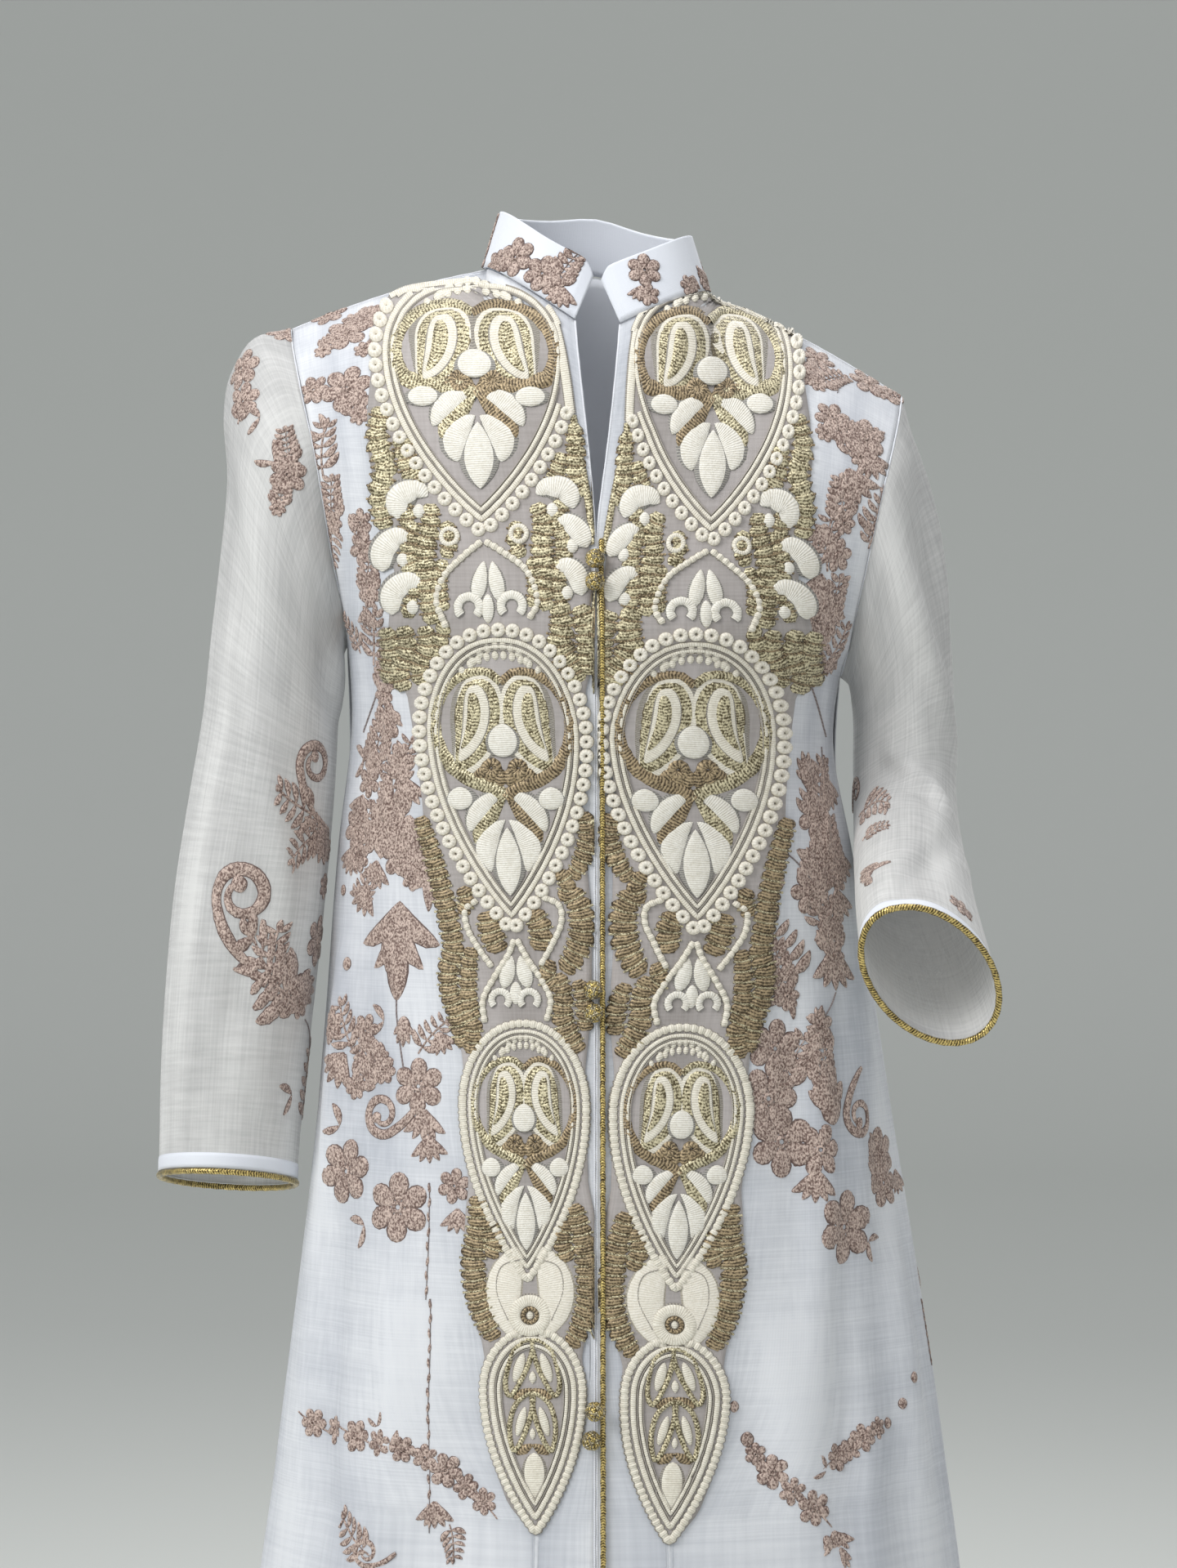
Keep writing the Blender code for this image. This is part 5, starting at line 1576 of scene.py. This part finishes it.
def frond(hoop, long=34.0, pairs=5, wide=6.0, bend=0.25):
    """Leaves in pairs up a bent stalk, smaller towards the tip."""
    way = np.linspace(0.0, 1.0, pairs + 2)
    spine = np.stack([bend * long * way ** 2, -long * way], axis=1)
    stalk(hoop, spine, 1.8)
    for k in range(pairs):
        size = 1.0 - 0.45 * k / pairs
        x, y = spine[k + 1]
        for side in (-1, 1):
            leaf(hoop, (x, y), (x + side * 0.36 * long * size, y - 0.20 * long * size), wide * size,
                 0.12 * side)
    leaf(hoop, spine[-2], spine[-1], wide * 0.7)


# %% Motifs of several leaves
def palmette(hoop, radius=20.0, leaves=5, span=120.0):
    """Leaves hanging from one place round a drop-shaped bud on a thin stalk."""
    for k in range(leaves):
        share = (k + 0.5) / leaves - 0.5
        way = spoke(90.0 - span * share) * radius * (2.1 - 1.2 * abs(share))
        leaf(hoop, (0, -radius), (way[0], way[1] - radius), radius * 0.62, 0.14 * math.copysign(1, share))
    for wide, high in ((0.75, 1.3), (0.5, 1.9)):
        petal(hoop, (0, 0.05 * radius), (0, 1.5 * radius), wide * radius, ROSE, high, fat=0.8, full=0.6,
              **LOOSE_CHAIN)
    stalk(hoop, [(0, 1.45 * radius), (0.05 * radius, 2.0 * radius), (0.3 * radius, 3.2 * radius)], 1.1, STEM)


def plume(hoop, long=62.0):
    """A full spray: broad leaves close together up a bent stalk, with a bloom at its foot."""
    frond(hoop, long, 6, 0.24 * long, 0.16)
    flower(hoop, 0.0, 0.0, 0.26 * long, 7)


def leaf_fan(hoop, radius=17.0, leaves=5, span=110.0):
    for k in range(leaves):
        way = spoke(90.0 + span * ((k + 0.5) / leaves - 0.5)) * radius
        leaf(hoop, way * 0.05, way, radius * 0.36, -0.06 * (k - (leaves - 1) / 2))


def leaf_pair(hoop, long=12.0):
    leaf(hoop, (0, 0), (-long, -0.1 * long), long * 0.45, 0.1)
    leaf(hoop, (0, 0), (-0.25 * long, long), long * 0.42, -0.1)


def bell(hoop, radius=15.0):
    """A round bud with a ragged lip."""
    for k in range(5):
        way = spoke(-90.0 + 150.0 * (k / 4 - 0.5)) * radius
        leaf(hoop, (0, 0.55 * radius), (way[0] * 0.72, way[1]), radius * 0.5, fat=1.3)
    dot(hoop, 0, 0.15 * radius, 1.15 * radius, 1.5 * radius, ROSE, 1.5, **MM)
def berry(hoop, radius=3.6):
    dot(hoop, 0, 0, 2 * radius, 2 * radius, ROSE, 1.3, **MM)


def chain_flower(hoop):
    """A small flower with a bit of stalk on both sides, for garlands."""
    stalk(hoop, [(-15, -2), (0, 0), (15, 2)], 1.5)
    flower(hoop, radius=9.5, petals=6, start=-75.0)


def seeds(hoop, count=8, pitch=9.0):
    """A thin line down the cloth with long stitches on it."""
    stalk(hoop, [(0, 0), (0.6, count * pitch / 2), (0, count * pitch)], 0.7, STEM)
    for k in range(count):
        side = 0.7 if k % 2 else -0.7
        leaf(hoop, (side, k * pitch), (-side * 0.3, k * pitch + 6.4), 2.5)


def stem(hoop, long=34.0):
    stalk(hoop, [(0, 0), (-0.10 * long, 0.35 * long), (-0.42 * long, long)], 1.3, STEM)


MOTIFS = {"plume": plume, "flower": flower, "curl": curl, "frond": frond, "palmette": palmette,
          "fan": leaf_fan, "pair": leaf_pair, "bell": bell, "berry": berry, "chain": chain_flower,
          "seeds": seeds, "stem": stem}
motif_nets = {}
for word, stitch_it in MOTIFS.items():
    hoop = new_hoop()
    stitch_it(hoop)
    mesh = bpy.data.meshes.new("motif " + word)
    hoop.to_mesh(mesh)
    hoop.free()
    motif_nets[word] = mesh, points_of(mesh)
    print("motif", word, len(mesh.polygons), "faces")

# %% [markdown]
# ## Where the flowers go
#
# The places are photo pixels. Turn is in degrees, clockwise as seen. A size of
# one is the motif as stitched above, and a minus size is its mirror image.
# %% Places seen in the photo
# Motif, photo column and row, turn, size.
SEWN = {
    "front_right": rows("""
plume 458 936 14 0.62, plume 484 1010 -12 0.66, plume 440 1050 10 0.62, plume 506 1074 -22 0.56,
plume 470 850 10 0.55, plume 452 730 0 0.5, plume 470 1310 -60 0.58, plume 436 1330 40 0.55,
flower 405 1255 0 0.7, plume 408 640 0 0.5, plume 432 392 62 0.5, flower 402 384 0 0.7,
plume 396 430 16 0.42, plume 446 428 70 0.46, flower 424 408 0 0.9, flower 448 392 20 0.6,
plume 440 508 -30 0.46, flower 424 476 10 0.95, flower 384 478 30 0.6, frond 396 585 -8 1,
frond 404 640 188 0.8, pair 398 530 60 1, flower 441 640 0 0.5, flower 444 672 20 0.62,
pair 436 655 150 1, flower 452 722 5 0.62, fan 448 742 10 0.9, frond 458 815 8 1.05,
frond 442 800 -20 -0.8, stem 470 815 10 1.35, fan 478 862 8 0.9, flower 474 884 15 0.72,
fan 458 905 20 1, pair 446 930 30 1.1, flower 452 956 0 0.62, frond 484 962 14 0.9,
flower 490 930 30 0.62, fan 496 950 -10 1.1, fan 446 972 25 1.1, palmette 470 1010 185 0.95,
fan 500 996 -5 1.15, flower 436 1014 12 0.8, fan 432 1036 20 1, flower 490 1046 40 0.85,
fan 516 1030 -30 0.9, fan 462 1052 10 1, flower 512 1068 10 0.6, frond 438 1110 24 0.8,
fan 452 1082 30 1.1, fan 516 1080 -60 1, palmette 488 1152 0 1.1, berry 421 1090 0 1,
berry 425 1180 0 1.2, frond 432 1286 -35 0.9, flower 448 1262 20 0.62, pair 470 1250 40 1,
bell 494 1262 180 0.6, frond 512 1290 30 0.8, fan 424 1288 35 1.25, pair 462 1285 -10 1.1,
fan 536 1262 -20 0.8, flower 512 1330 0 0.98, curl 468 1364 -118 1.05, fan 520 1356 0 1.1,
fan 524 1388 -6 0.95, pair 416 1378 60 1.1, flower 424 1434 14 1.15, flower 487 1478 0 1.2,
pair 446 1500 4 1.1, flower 556 1452 10 0.62, fan 560 1478 0 0.85, seeds 526 1448 0 1,
seeds 527 1590 0 1, seeds 524 1732 -1 1, chain 384 1742 15 1, chain 436 1758 6 1.1,
chain 492 1774 20 0.9, chain 545 1800 30 1.15, chain 592 1838 40 0.9, flower 411 1748 0 0.42,
flower 464 1766 10 0.48, pair 476 1772 110 0.9, flower 520 1784 0 0.46, fan 532 1836 0 0.9,
flower 570 1820 20 0.46, frond 550 1866 160 0.6, frond 452 1904 -60 0.9, pair 462 1746 100 0.7,
berry 410 1762 0 0.9, curl 448 1900 -100 0.7
"""),
    "front_left": rows("""
plume 1002 1000 8 0.66, plume 1024 1074 -12 0.64, plume 992 1092 14 0.6, plume 1020 1170 -6 0.62,
plume 1012 770 4 0.58, plume 1032 640 -8 0.52, plume 962 1220 -20 0.58, plume 1008 1330 0 0.55,
plume 956 1330 24 0.62, plume 1078 482 100 0.44, flower 1062 470 0 0.8, plume 1010 530 74 0.46,
flower 1000 440 0 0.7, frond 1062 672 10 0.7, plume 1052 560 30 0.48, plume 1000 470 60 0.48,
plume 1070 1440 0 0.46, flower 980 452 10 0.85, flower 1018 512 30 0.7, frond 1012 536 84 0.95,
flower 1058 536 20 0.85, fan 1060 552 -12 1.1, stem 1024 482 200 0.55, fan 1036 572 -16 1.35,
berry 1028 624 0 0.8, flower 1036 598 0 0.55, frond 1062 660 16 0.95, fan 1010 640 10 1,
frond 1012 700 -8 1, flower 1024 680 20 0.62, fan 1004 700 6 1.3, flower 1008 742 0 0.72,
fan 1016 740 -20 1, fan 1002 764 8 1.2, flower 996 760 20 0.5, frond 1006 820 4 0.9,
stem 982 822 -62 1.5, fan 1024 800 -4 0.9, bell 986 944 -18 0.8, frond 994 1010 6 1.15,
fan 1010 950 -12 1.2, flower 996 1000 10 0.85, fan 1002 1010 -8 1.4, palmette 1010 1052 190 1,
flower 1016 1050 20 0.8, fan 1024 1040 -16 1.2, flower 990 1092 30 0.85, fan 1022 1086 -10 1.2,
frond 1006 1140 -12 0.9, fan 1012 1120 -4 1.1, fan 1020 1158 4 1.5, stem 958 1042 -70 1.1,
berry 954 1080 0 1.1, frond 972 1208 -14 -1.35, pair 962 1220 -30 1.1, stem 1022 1215 20 0.8,
frond 1014 1300 -24 0.9, flower 1004 1256 10 0.62, bell 1014 1340 -8 1.3, flower 948 1284 10 1.05,
flower 940 1345 30 1.15, flower 956 1398 5 1.25, curl 1052 1366 200 -1.05, flower 1004 1408 24 0.95,
fan 1000 1430 6 1.15, flower 1076 1412 0 0.95, flower 1080 1448 24 0.9, flower 1032 1502 12 1.3,
pair 1062 1520 250 1, curl 1128 1560 175 0.9, fan 1094 1430 0 0.9, seeds 1126 1590 -2 0.6,
berry 1118 1686 0 1, berry 1104 1718 0 1, berry 1085 1742 0 1, chain 1056 1760 -28 0.95,
chain 1024 1784 -30 0.95, flower 1074 1748 0 0.4, flower 1040 1774 10 0.42, pair 1010 1800 60 0.8,
berry 914 1762 0 1.3, chain 945 1802 42 1.15, chain 996 1846 38 1.2, flower 924 1780 0 0.4,
flower 970 1826 10 0.5, fan 1018 1872 -20 0.9, bell 1014 1890 150 0.4, bell 1030 1908 170 0.5,
berry 898 1722 0 1
"""),
    "sleeve_right": rows("""
plume 366 402 -70 0.46, plume 366 1228 -66 0.66, plume 400 1040 -60 0.5, flower 296 452 0 0.7,
frond 292 520 8 0.55, plume 356 570 -16 0.42, plume 340 622 12 0.36, flower 392 372 10 0.85,
frond 372 420 -30 0.85, flower 352 408 30 0.55, flower 298 492 0 0.62, pair 318 512 30 0.9,
flower 352 582 10 0.6, pair 336 566 80 0.9, flower 372 470 10 0.6, curl 386 936 -8 0.95,
frond 388 1000 -75 0.95, frond 392 1016 -110 -0.85, fan 398 1012 20 1.1, curl 296 1096 -14 1.3,
frond 362 1232 -58 1.65, frond 330 1212 -4 0.95, bell 372 1210 100 0.9, flower 388 1152 10 0.78,
flower 396 1085 0 0.4, stem 372 1248 -70 0.8, frond 386 1372 -18 1.15, frond 392 1330 14 -0.6,
pair 356 1340 20 0.9
"""),
    "sleeve_left": rows("""
frond 1052 1000 52 1.1, curl 1048 968 30 0.55, frond 1056 1030 24 0.6, pair 1062 1072 190 1.2,
fan 1076 1056 20 0.9, flower 1176 1112 10 0.5, pair 1140 470 60 0.7
"""),
    "collar": rows("""
plume 652 392 -4 0.58, plume 616 368 -30 0.56, plume 690 396 26 0.5, flower 632 316 0 0.86,
flower 664 336 20 0.8, flower 608 324 20 0.62, fan 690 352 10 0.9, flower 628 348 10 0.6,
flower 650 362 10 0.6, plume 788 392 -4 0.4, flower 788 332 0 0.72, fan 784 350 10 0.7,
plume 838 384 -74 0.46, flower 812 380 0 0.66, flower 842 352 40 0.5, fan 846 338 20 0.6,
flower 792 362 10 0.5, fan 830 396 0 0.6, fan 596 350 0 0.9, flower 646 392 0 0.5, flower 596 376 0 0.5
"""),
}

# %% Places that the photo does not show
# Motif, x or the distance from the middle and the height, both in metres, turn, size.
# The back's pairs mirror each other.
BACK_PAIRS = rows("""
plume 0.045 -0.12 20 1, flower 0.11 -0.13 10 1.4, frond 0.15 -0.21 10 1.2, flower 0.075 -0.215 0 1.5,
curl 0.04 -0.3 -20 1.4, plume 0.115 -0.33 16 1.1, fan 0.06 -0.35 0 1.5, flower 0.16 -0.36 20 1.3,
plume 0.06 -0.47 8 1, flower 0.13 -0.44 0 1.5, frond 0.165 -0.52 14 1.4, curl 0.1 -0.59 180 1.4,
plume 0.15 -0.64 10 1, flower 0.06 -0.6 20 1.5, fan 0.052 -0.65 10 1.5, flower 0.12 -0.73 0 1.5,
plume 0.06 -0.78 -14 0.9, flower 0.18 -0.76 0 1.4, seeds 0.1 -0.86 0 1.2, seeds 0.101 -1 0 1.2,
chain 0.035 -1.08 0 1.2, chain 0.1 -1.072 -10 1.2, chain 0.165 -1.052 -20 1.2,
chain 0.225 -1.022 -28 1.2, flower 0.07 -1.2 10 1, flower 0.17 -1.18 10 1, berry 0.12 -1.23 0 1.5
""")
UNSEEN = {
    "back": rows("""
flower 0 -0.17 0 1.4, palmette 0 -0.4 0 1.5, palmette 0 -0.88 0 1.5, flower 0 -0.54 20 1.2,
flower 0 -0.7 0 1.4
"""),
    "sleeve_right": rows("""
frond -0.235 -0.2 0 1, flower -0.23 -0.28 0 0.9, curl -0.245 -0.36 -10 1, flower -0.24 -0.45 0 0.9,
frond -0.245 -0.54 0 1.1
"""),
    "sleeve_left": rows("""
frond 0.215 -0.16 0 0.9, flower 0.225 -0.24 0 0.9, curl 0.225 -0.32 10 -0.9
"""),
}
for word, out, z, turn, size in BACK_PAIRS:
    UNSEEN["back"] += [(word, out, z, turn, -size), (word, -out, z, -turn, size)]
print("flowers", sum(len(places) for places in (*SEWN.values(), *UNSEEN.values())))

# %% Sewing one motif
FLOWER_LIFT_MM = 0.45
BIGGER = {"front_right": 1.14, "front_left": 1.12, "sleeve_right": 1.35, "sleeve_left": 1.3, "collar": 1.0}
AS_SEWN = ("seeds", "stem", "berry", "chain", "plume")
DOWN, TO_CAMERA = Vector((0, 0, -1)), Vector((0, -1, 0))
BEHIND, NEAR_BACK = 1.0, 0.1


def sew(hoop, word, name, point, face, turn, size):
    """Lay one motif flat against the cloth at a place, then press it on."""
    mesh, flat = motif_nets[word]
    normal = smooth_normal(name, face, point)
    down = (DOWN - normal * DOWN.dot(normal)).normalized()
    across = normal.cross(down)
    cos, sin = math.cos(math.radians(turn)), math.sin(math.radians(turn))
    scale, mirror = abs(size) / 1000, math.copysign(1.0, size)
    placed = np.empty_like(flat)
    wall = COLLAR_WALL / 2 if name == "collar" else 0.0
    for k, (x, y, z) in enumerate(flat):
        x = x * mirror * scale
        y = y * scale
        spot = point + across * (x * cos - y * sin) + down * (x * sin + y * cos)
        near, way, face, far = surfaces[name].find_nearest(spot)
        placed[k] = near + smooth_normal(name, face, near) * (z + FLOWER_LIFT_MM / 1000 + wall)
    mesh.vertices.foreach_set("co", placed.ravel())
    before = len(hoop.faces)
    hoop.from_mesh(mesh)
    if mirror > 0:
        hoop.faces.ensure_lookup_table()
        bmesh.ops.reverse_faces(hoop, faces=hoop.faces[before:])


def place_seen(name, px, py):
    start, way = sight(px, py)
    return met(surfaces[name], start, way, start + way * (CAMERA_DISTANCE / way.y))


def place_unseen(name, x, z):
    """A place on the side away from the camera."""
    return met(surfaces[name], Vector((x, BEHIND, z)), TO_CAMERA, Vector((x, NEAR_BACK, z)))


# %% Sewing the flowers on
for name in ("front_right", "front_left", "sleeve_right", "sleeve_left", "back", "collar"):
    hoop = new_hoop()
    for word, px, py, turn, size in SEWN.get(name, ()):
        grown = 1.0 if word in AS_SEWN else BIGGER[name]
        sew(hoop, word, name, *place_seen(name, px, py), turn, size * grown)
    for word, x, z, turn, size in UNSEEN.get(name, ()):
        sew(hoop, word, name, *place_unseen(name, x, z), turn, size)
    bmesh.ops.remove_doubles(hoop, verts=hoop.verts, dist=MEET)
    slot = "sleeve_voile" if name.startswith("sleeve") else "voile"
    finished("flowers_" + name, hoop, False, FLOWER_FINISHES, slot)
# %% [markdown]
# ## Gold cord, piping and knots
#
# The cord on the edge and the piping on the cuffs are twisted tubes: a round
# section with a lobe for each strand, turned a little at every step. Each
# button is a ball of cord, wound round three ways over a core.

# %% Twisted cord
CORD_RADIUS, PIPING_RADIUS, KNOT_RADIUS = 0.0019, 0.0021, 0.0062
CORD_START = -0.150
TWISTED_GOLD = ["bright gold", "old gold"]


def twisted(hoop, path, radius, strands, pitch, deep, middle=None, around=12, step=0.0011, finish=0):
    """A lobed tube along a path. A ring of cord gives its middle, to turn evenly about it."""
    path = np.asarray(path, float)
    if middle is not None:
        path = np.vstack([path, path[:1]])
    long = distances(path)[-1]
    places = np.linspace(0.0, long, max(4, int(round(long / step))) + 1)
    line = spread(path, places)
    along = np.gradient(line, axis=0)
    if middle is not None:
        along[0] = along[-1] = line[1] - line[-2]
    along = unit(along)
    out = np.array([0.0, -1.0, 0.0]) if middle is None else line - np.asarray(middle)
    out = unit(out - along * (along * out).sum(axis=1, keepdims=True))
    aside = np.cross(along, out)
    turns = max(1, round(long / pitch)) / long
    angles = np.linspace(0.0, 2 * math.pi, around + 1)
    wave = np.cos(strands * angles + 2 * math.pi * (places * turns)[:, None])
    reach = radius * (1.0 - deep * (0.5 - 0.5 * wave))
    net = line[:, None] + reach[..., None] * (out[:, None] * np.cos(angles)[:, None]
                                              + aside[:, None] * np.sin(angles)[:, None])
    lay_strip(hoop, net, places, np.arange(around + 1) / around, finish)


def sealed(hoop):
    """Weld the seams of its tubes, close their ends and turn all faces out."""
    bmesh.ops.remove_doubles(hoop, verts=hoop.verts, dist=MEET)
    ends = [edge for edge in hoop.edges if edge.is_boundary]
    bmesh.ops.holes_fill(hoop, edges=ends, sides=16)
    bmesh.ops.recalc_face_normals(hoop, faces=hoop.faces)


# %% The cord on the edge and the piping on the cuffs
cord_ways = smooth_ways["front_left"][:, COLUMN_STEPS]
cord_line = nets["front_left"][:, COLUMN_STEPS] + cord_ways * (VOILE / 2 + REST_GAP + CORD_RADIUS)
cord_line = cord_line[cord_line[:, 2] <= CORD_START]
hoop = new_hoop()
twisted(hoop, cord_line, CORD_RADIUS, 3, 0.0075, 0.22, around=9, step=0.0013)
sealed(hoop)
finished("cord_front_twisted", hoop, False, TWISTED_GOLD, "gold", "cord_front")

for word in SIDES:
    net = nets["sleeve_" + word]
    path = net[-1] + unit(net[-1] - net[-2]) * (SEAM_GAP + PIPING_RADIUS)
    hoop = new_hoop()
    twisted(hoop, path, PIPING_RADIUS, 4, 0.0085, 0.14, middle=path.mean(axis=0), step=0.0014)
    sealed(hoop)
    finished("piping_%s_twisted" % word, hoop, False, TWISTED_GOLD, "gold", "piping_" + word)

# %% Ball knots
# Name, x and height in metres, and how many degrees the ball is turned.
KNOTS = rows("""
top_upper -0.0010 -0.1670 20, top_lower -0.0010 -0.1810 65, middle_upper -0.0022 -0.4315 110,
middle_lower -0.0018 -0.4455 155, low_upper -0.0010 -0.6865 200, low_lower -0.0030 -0.7045 245
""")
KNOT_CORE_SHARE, KNOT_CORD_RADIUS, KNOT_LEAN, KNOT_STEPS = 0.76, 0.00118, 28, 24
KNOT_TURNS = (-0.0030, -0.0010, 0.0010, 0.0030)
BULGE, SINK = 0.045, 0.02


def winding(axis, off, k):
    """One turn of cord round the ball, about one of its three axes."""
    reach = math.sqrt((KNOT_RADIUS - KNOT_CORD_RADIUS) ** 2 - off ** 2)
    points = []
    for step in range(KNOT_STEPS):
        angle = 2 * math.pi * step / KNOT_STEPS
        lift = 1.0 + BULGE * math.cos(2 * angle + math.pi * k) - SINK
        spot = off * lift, reach * lift * math.cos(angle), reach * lift * math.sin(angle)
        points.append(np.roll(spot, axis))
    return points


for name, x, z, tilt in KNOTS:
    cord_x, cord_y = (np.interp(-z, -cord_line[:, 2], cord_line[:, k]) for k in (0, 1))
    reach = CORD_RADIUS + KNOT_RADIUS + REST_GAP
    centre = Vector((x, cord_y - math.sqrt(reach ** 2 - (cord_x - x) ** 2), z))
    hoop = new_hoop()
    bmesh.ops.create_uvsphere(hoop, u_segments=12, v_segments=8, radius=KNOT_RADIUS * KNOT_CORE_SHARE)
    for axis in range(3):
        for k, off in enumerate(KNOT_TURNS):
            twisted(hoop, winding(axis, off, k), KNOT_CORD_RADIUS, 2, 0.004, 0.12, middle=(0.0, 0.0, 0.0),
                    around=7, step=0.0016, finish=k % 2)
    bmesh.ops.remove_doubles(hoop, verts=hoop.verts, dist=MEET)
    bmesh.ops.recalc_face_normals(hoop, faces=hoop.faces)
    turn = Matrix.Rotation(math.radians(tilt), 3, "Y") @ Matrix.Rotation(math.radians(KNOT_LEAN), 3, "X")
    for vert in hoop.verts:
        vert.co = centre + turn @ vert.co
    finished("knot_%s_wound" % name, hoop, False, TWISTED_GOLD, "gold", "knot_" + name)

# %% [markdown]
# ## Seams and hem bands
#
# A thin rolled seam follows the armholes, the shoulders and the sides, and a
# rolled hem the front edges and the bottom. Each cuff has a hem band of doubled
# voile above its piping.

# %% Rolled seams
SEAM_RADIUS, HEM_RADIUS = 0.0007, 0.0008
FINE_STEP, LONG_STEP = 0.003, 0.004
SEAM = {"radius": SEAM_RADIUS, "strands": 2, "pitch": 0.004, "deep": 0.2, "around": 5}
HEM_ROLL = {"radius": HEM_RADIUS, "strands": 2, "pitch": 0.005, "deep": 0.15, "around": 5}
hoop = new_hoop()
for word in SIDES:
    front, armhole_line = nets["front_" + word], nets["sleeve_" + word][0]
    twisted(hoop, armhole_line, middle=armhole_line.mean(axis=0), step=FINE_STEP, **SEAM)
    twisted(hoop, front[0, NECK_COLUMNS * COLUMN_STEPS:], step=FINE_STEP, **SEAM)
    twisted(hoop, front[ARMHOLE_ROWS * ROW_STEPS:, -1], step=LONG_STEP, **SEAM)
    twisted(hoop, front[-1], step=FINE_STEP, **HEM_ROLL)
    twisted(hoop, front[:, 0], step=LONG_STEP, **HEM_ROLL)
twisted(hoop, nets["back"][-1], step=LONG_STEP, **HEM_ROLL)
sealed(hoop)
finished("seams_rolled", hoop, False, ["white thread"], "voile")

# %% Hem bands on the cuffs
BAND_LOW, BAND_HIGH, BAND_LIFT, BAND_ROWS, BAND_REACH, BAND_THICK = 0.0002, 0.0095, 0.0006, 5, 8, 0.0005
for word in SIDES:
    name = "sleeve_" + word
    net, ways = nets[name][::-1][:BAND_REACH], smooth_ways[name][::-1][:BAND_REACH]
    band = np.empty((BAND_ROWS, net.shape[1], 3))
    heights = np.linspace(BAND_LOW, BAND_HIGH, BAND_ROWS)
    lifts = BAND_LIFT * np.array([1.0] * (BAND_ROWS - 1) + [0.5])
    for column in range(net.shape[1]):
        far = distances(net[:, column])
        for k in range(3):
            band[:, column, k] = (np.interp(heights, far, net[:, column, k])
                                  + lifts * np.interp(heights, far, ways[:, column, k]))
    mesh = net_mesh("hem_band_" + word, band, True, OUTWARD[name] > 0)
    hem = shown("hem_band_" + word, mesh, ["collar cloth"], "sleeve_voile", thick=BAND_THICK)
    print("hem band", word, surface_area(mesh), "m2")

# %% [markdown]
# ## Floor and light
#
# The photo was taken under soft ceiling light. A wide light stands in front and
# above, a weaker one to the other side, and a pale floor runs up into a pale
# backdrop so that the white cloth stands out against it.

# %% Floor and backdrop
FLOOR_DROP, FLOOR_NEAR, CURVE_STEPS = 0.01, -12.0, 12
BACKDROP_FAR, BACKDROP_HIGH, BACKDROP_WIDE, BACKDROP_ROUND = 9.5, 9.0, 44.0, 2.5
tree, shader = new_material("floor", 0.9)
dusty = add(tree, "ShaderNodeTexNoise", {"Scale": 3.0, "Detail": 4.0}).outputs["Fac"]
feed(tree, shader.inputs["Base Color"], blend_colours(tree, dusty, colour("e2e5e1"), colour("eaede9")))
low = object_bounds()[0].z - FLOOR_DROP
line = [(FLOOR_NEAR, low)]
for step in range(CURVE_STEPS + 1):
    away, up = (BACKDROP_ROUND * (1 - f(math.pi / 2 * step / CURVE_STEPS)) for f in (math.sin, math.cos))
    line.append((BACKDROP_FAR - away, low + up))
line.append((BACKDROP_FAR, low + BACKDROP_HIGH))
bm = bmesh.new()
corners = [bm.verts.new((-BACKDROP_WIDE / 2, y, z)) for y, z in line]
edges = [bm.edges.new(pair) for pair in zip(corners, corners[1:])]
pulled = bmesh.ops.extrude_edge_only(bm, edges=edges)["geom"]
bmesh.ops.translate(bm, verts=[v for v in pulled if isinstance(v, bmesh.types.BMVert)],
                    vec=(BACKDROP_WIDE, 0, 0))
floor_mesh = bpy.data.meshes.new("floor")
bm.to_mesh(floor_mesh)
bm.free()
floor_mesh.polygons.foreach_set("use_smooth", [True] * len(floor_mesh.polygons))
floor_mesh.materials.append(materials["floor"])
floor = bpy.data.objects.new("floor", floor_mesh)
bpy.context.scene.collection.objects.link(floor)
print("floor at", round(low, 3), "m")

# %% Lights
AIM = Vector((0, 0, -0.35))
# Place, size in metres and power in watts.
LIGHTS = {
    "key": ((-1.9, -1.9, 1.3), 1.6, 62.0), "fill": ((1.9, -2.0, 0.4), 2.0, 7.0),
    "top": ((0.1, -0.3, 1.9), 1.5, 22.0), "behind": ((0.2, 2.0, 1.4), 1.6, 22.0),
}
WORLD_COLOUR, WORLD_STRENGTH = (0.97, 0.98, 1.0, 1.0), 0.42
for name, (place, size, watts) in LIGHTS.items():
    lamp = bpy.data.lights.new(name, "AREA")
    lamp.shape = "SQUARE"
    lamp.size = size
    lamp.energy = watts
    holder = bpy.data.objects.new(name, lamp)
    holder.location = place
    holder.rotation_euler = (AIM - Vector(place)).to_track_quat("-Z", "Y").to_euler()
    bpy.context.scene.collection.objects.link(holder)

world = bpy.data.worlds.new("studio")
world.use_nodes = True
background = world.node_tree.nodes["Background"].inputs
background["Color"].default_value = WORLD_COLOUR
background["Strength"].default_value = WORLD_STRENGTH
bpy.context.scene.world = world
bpy.context.scene.view_settings.view_transform = "Standard"
print("lights", sorted(LIGHTS))
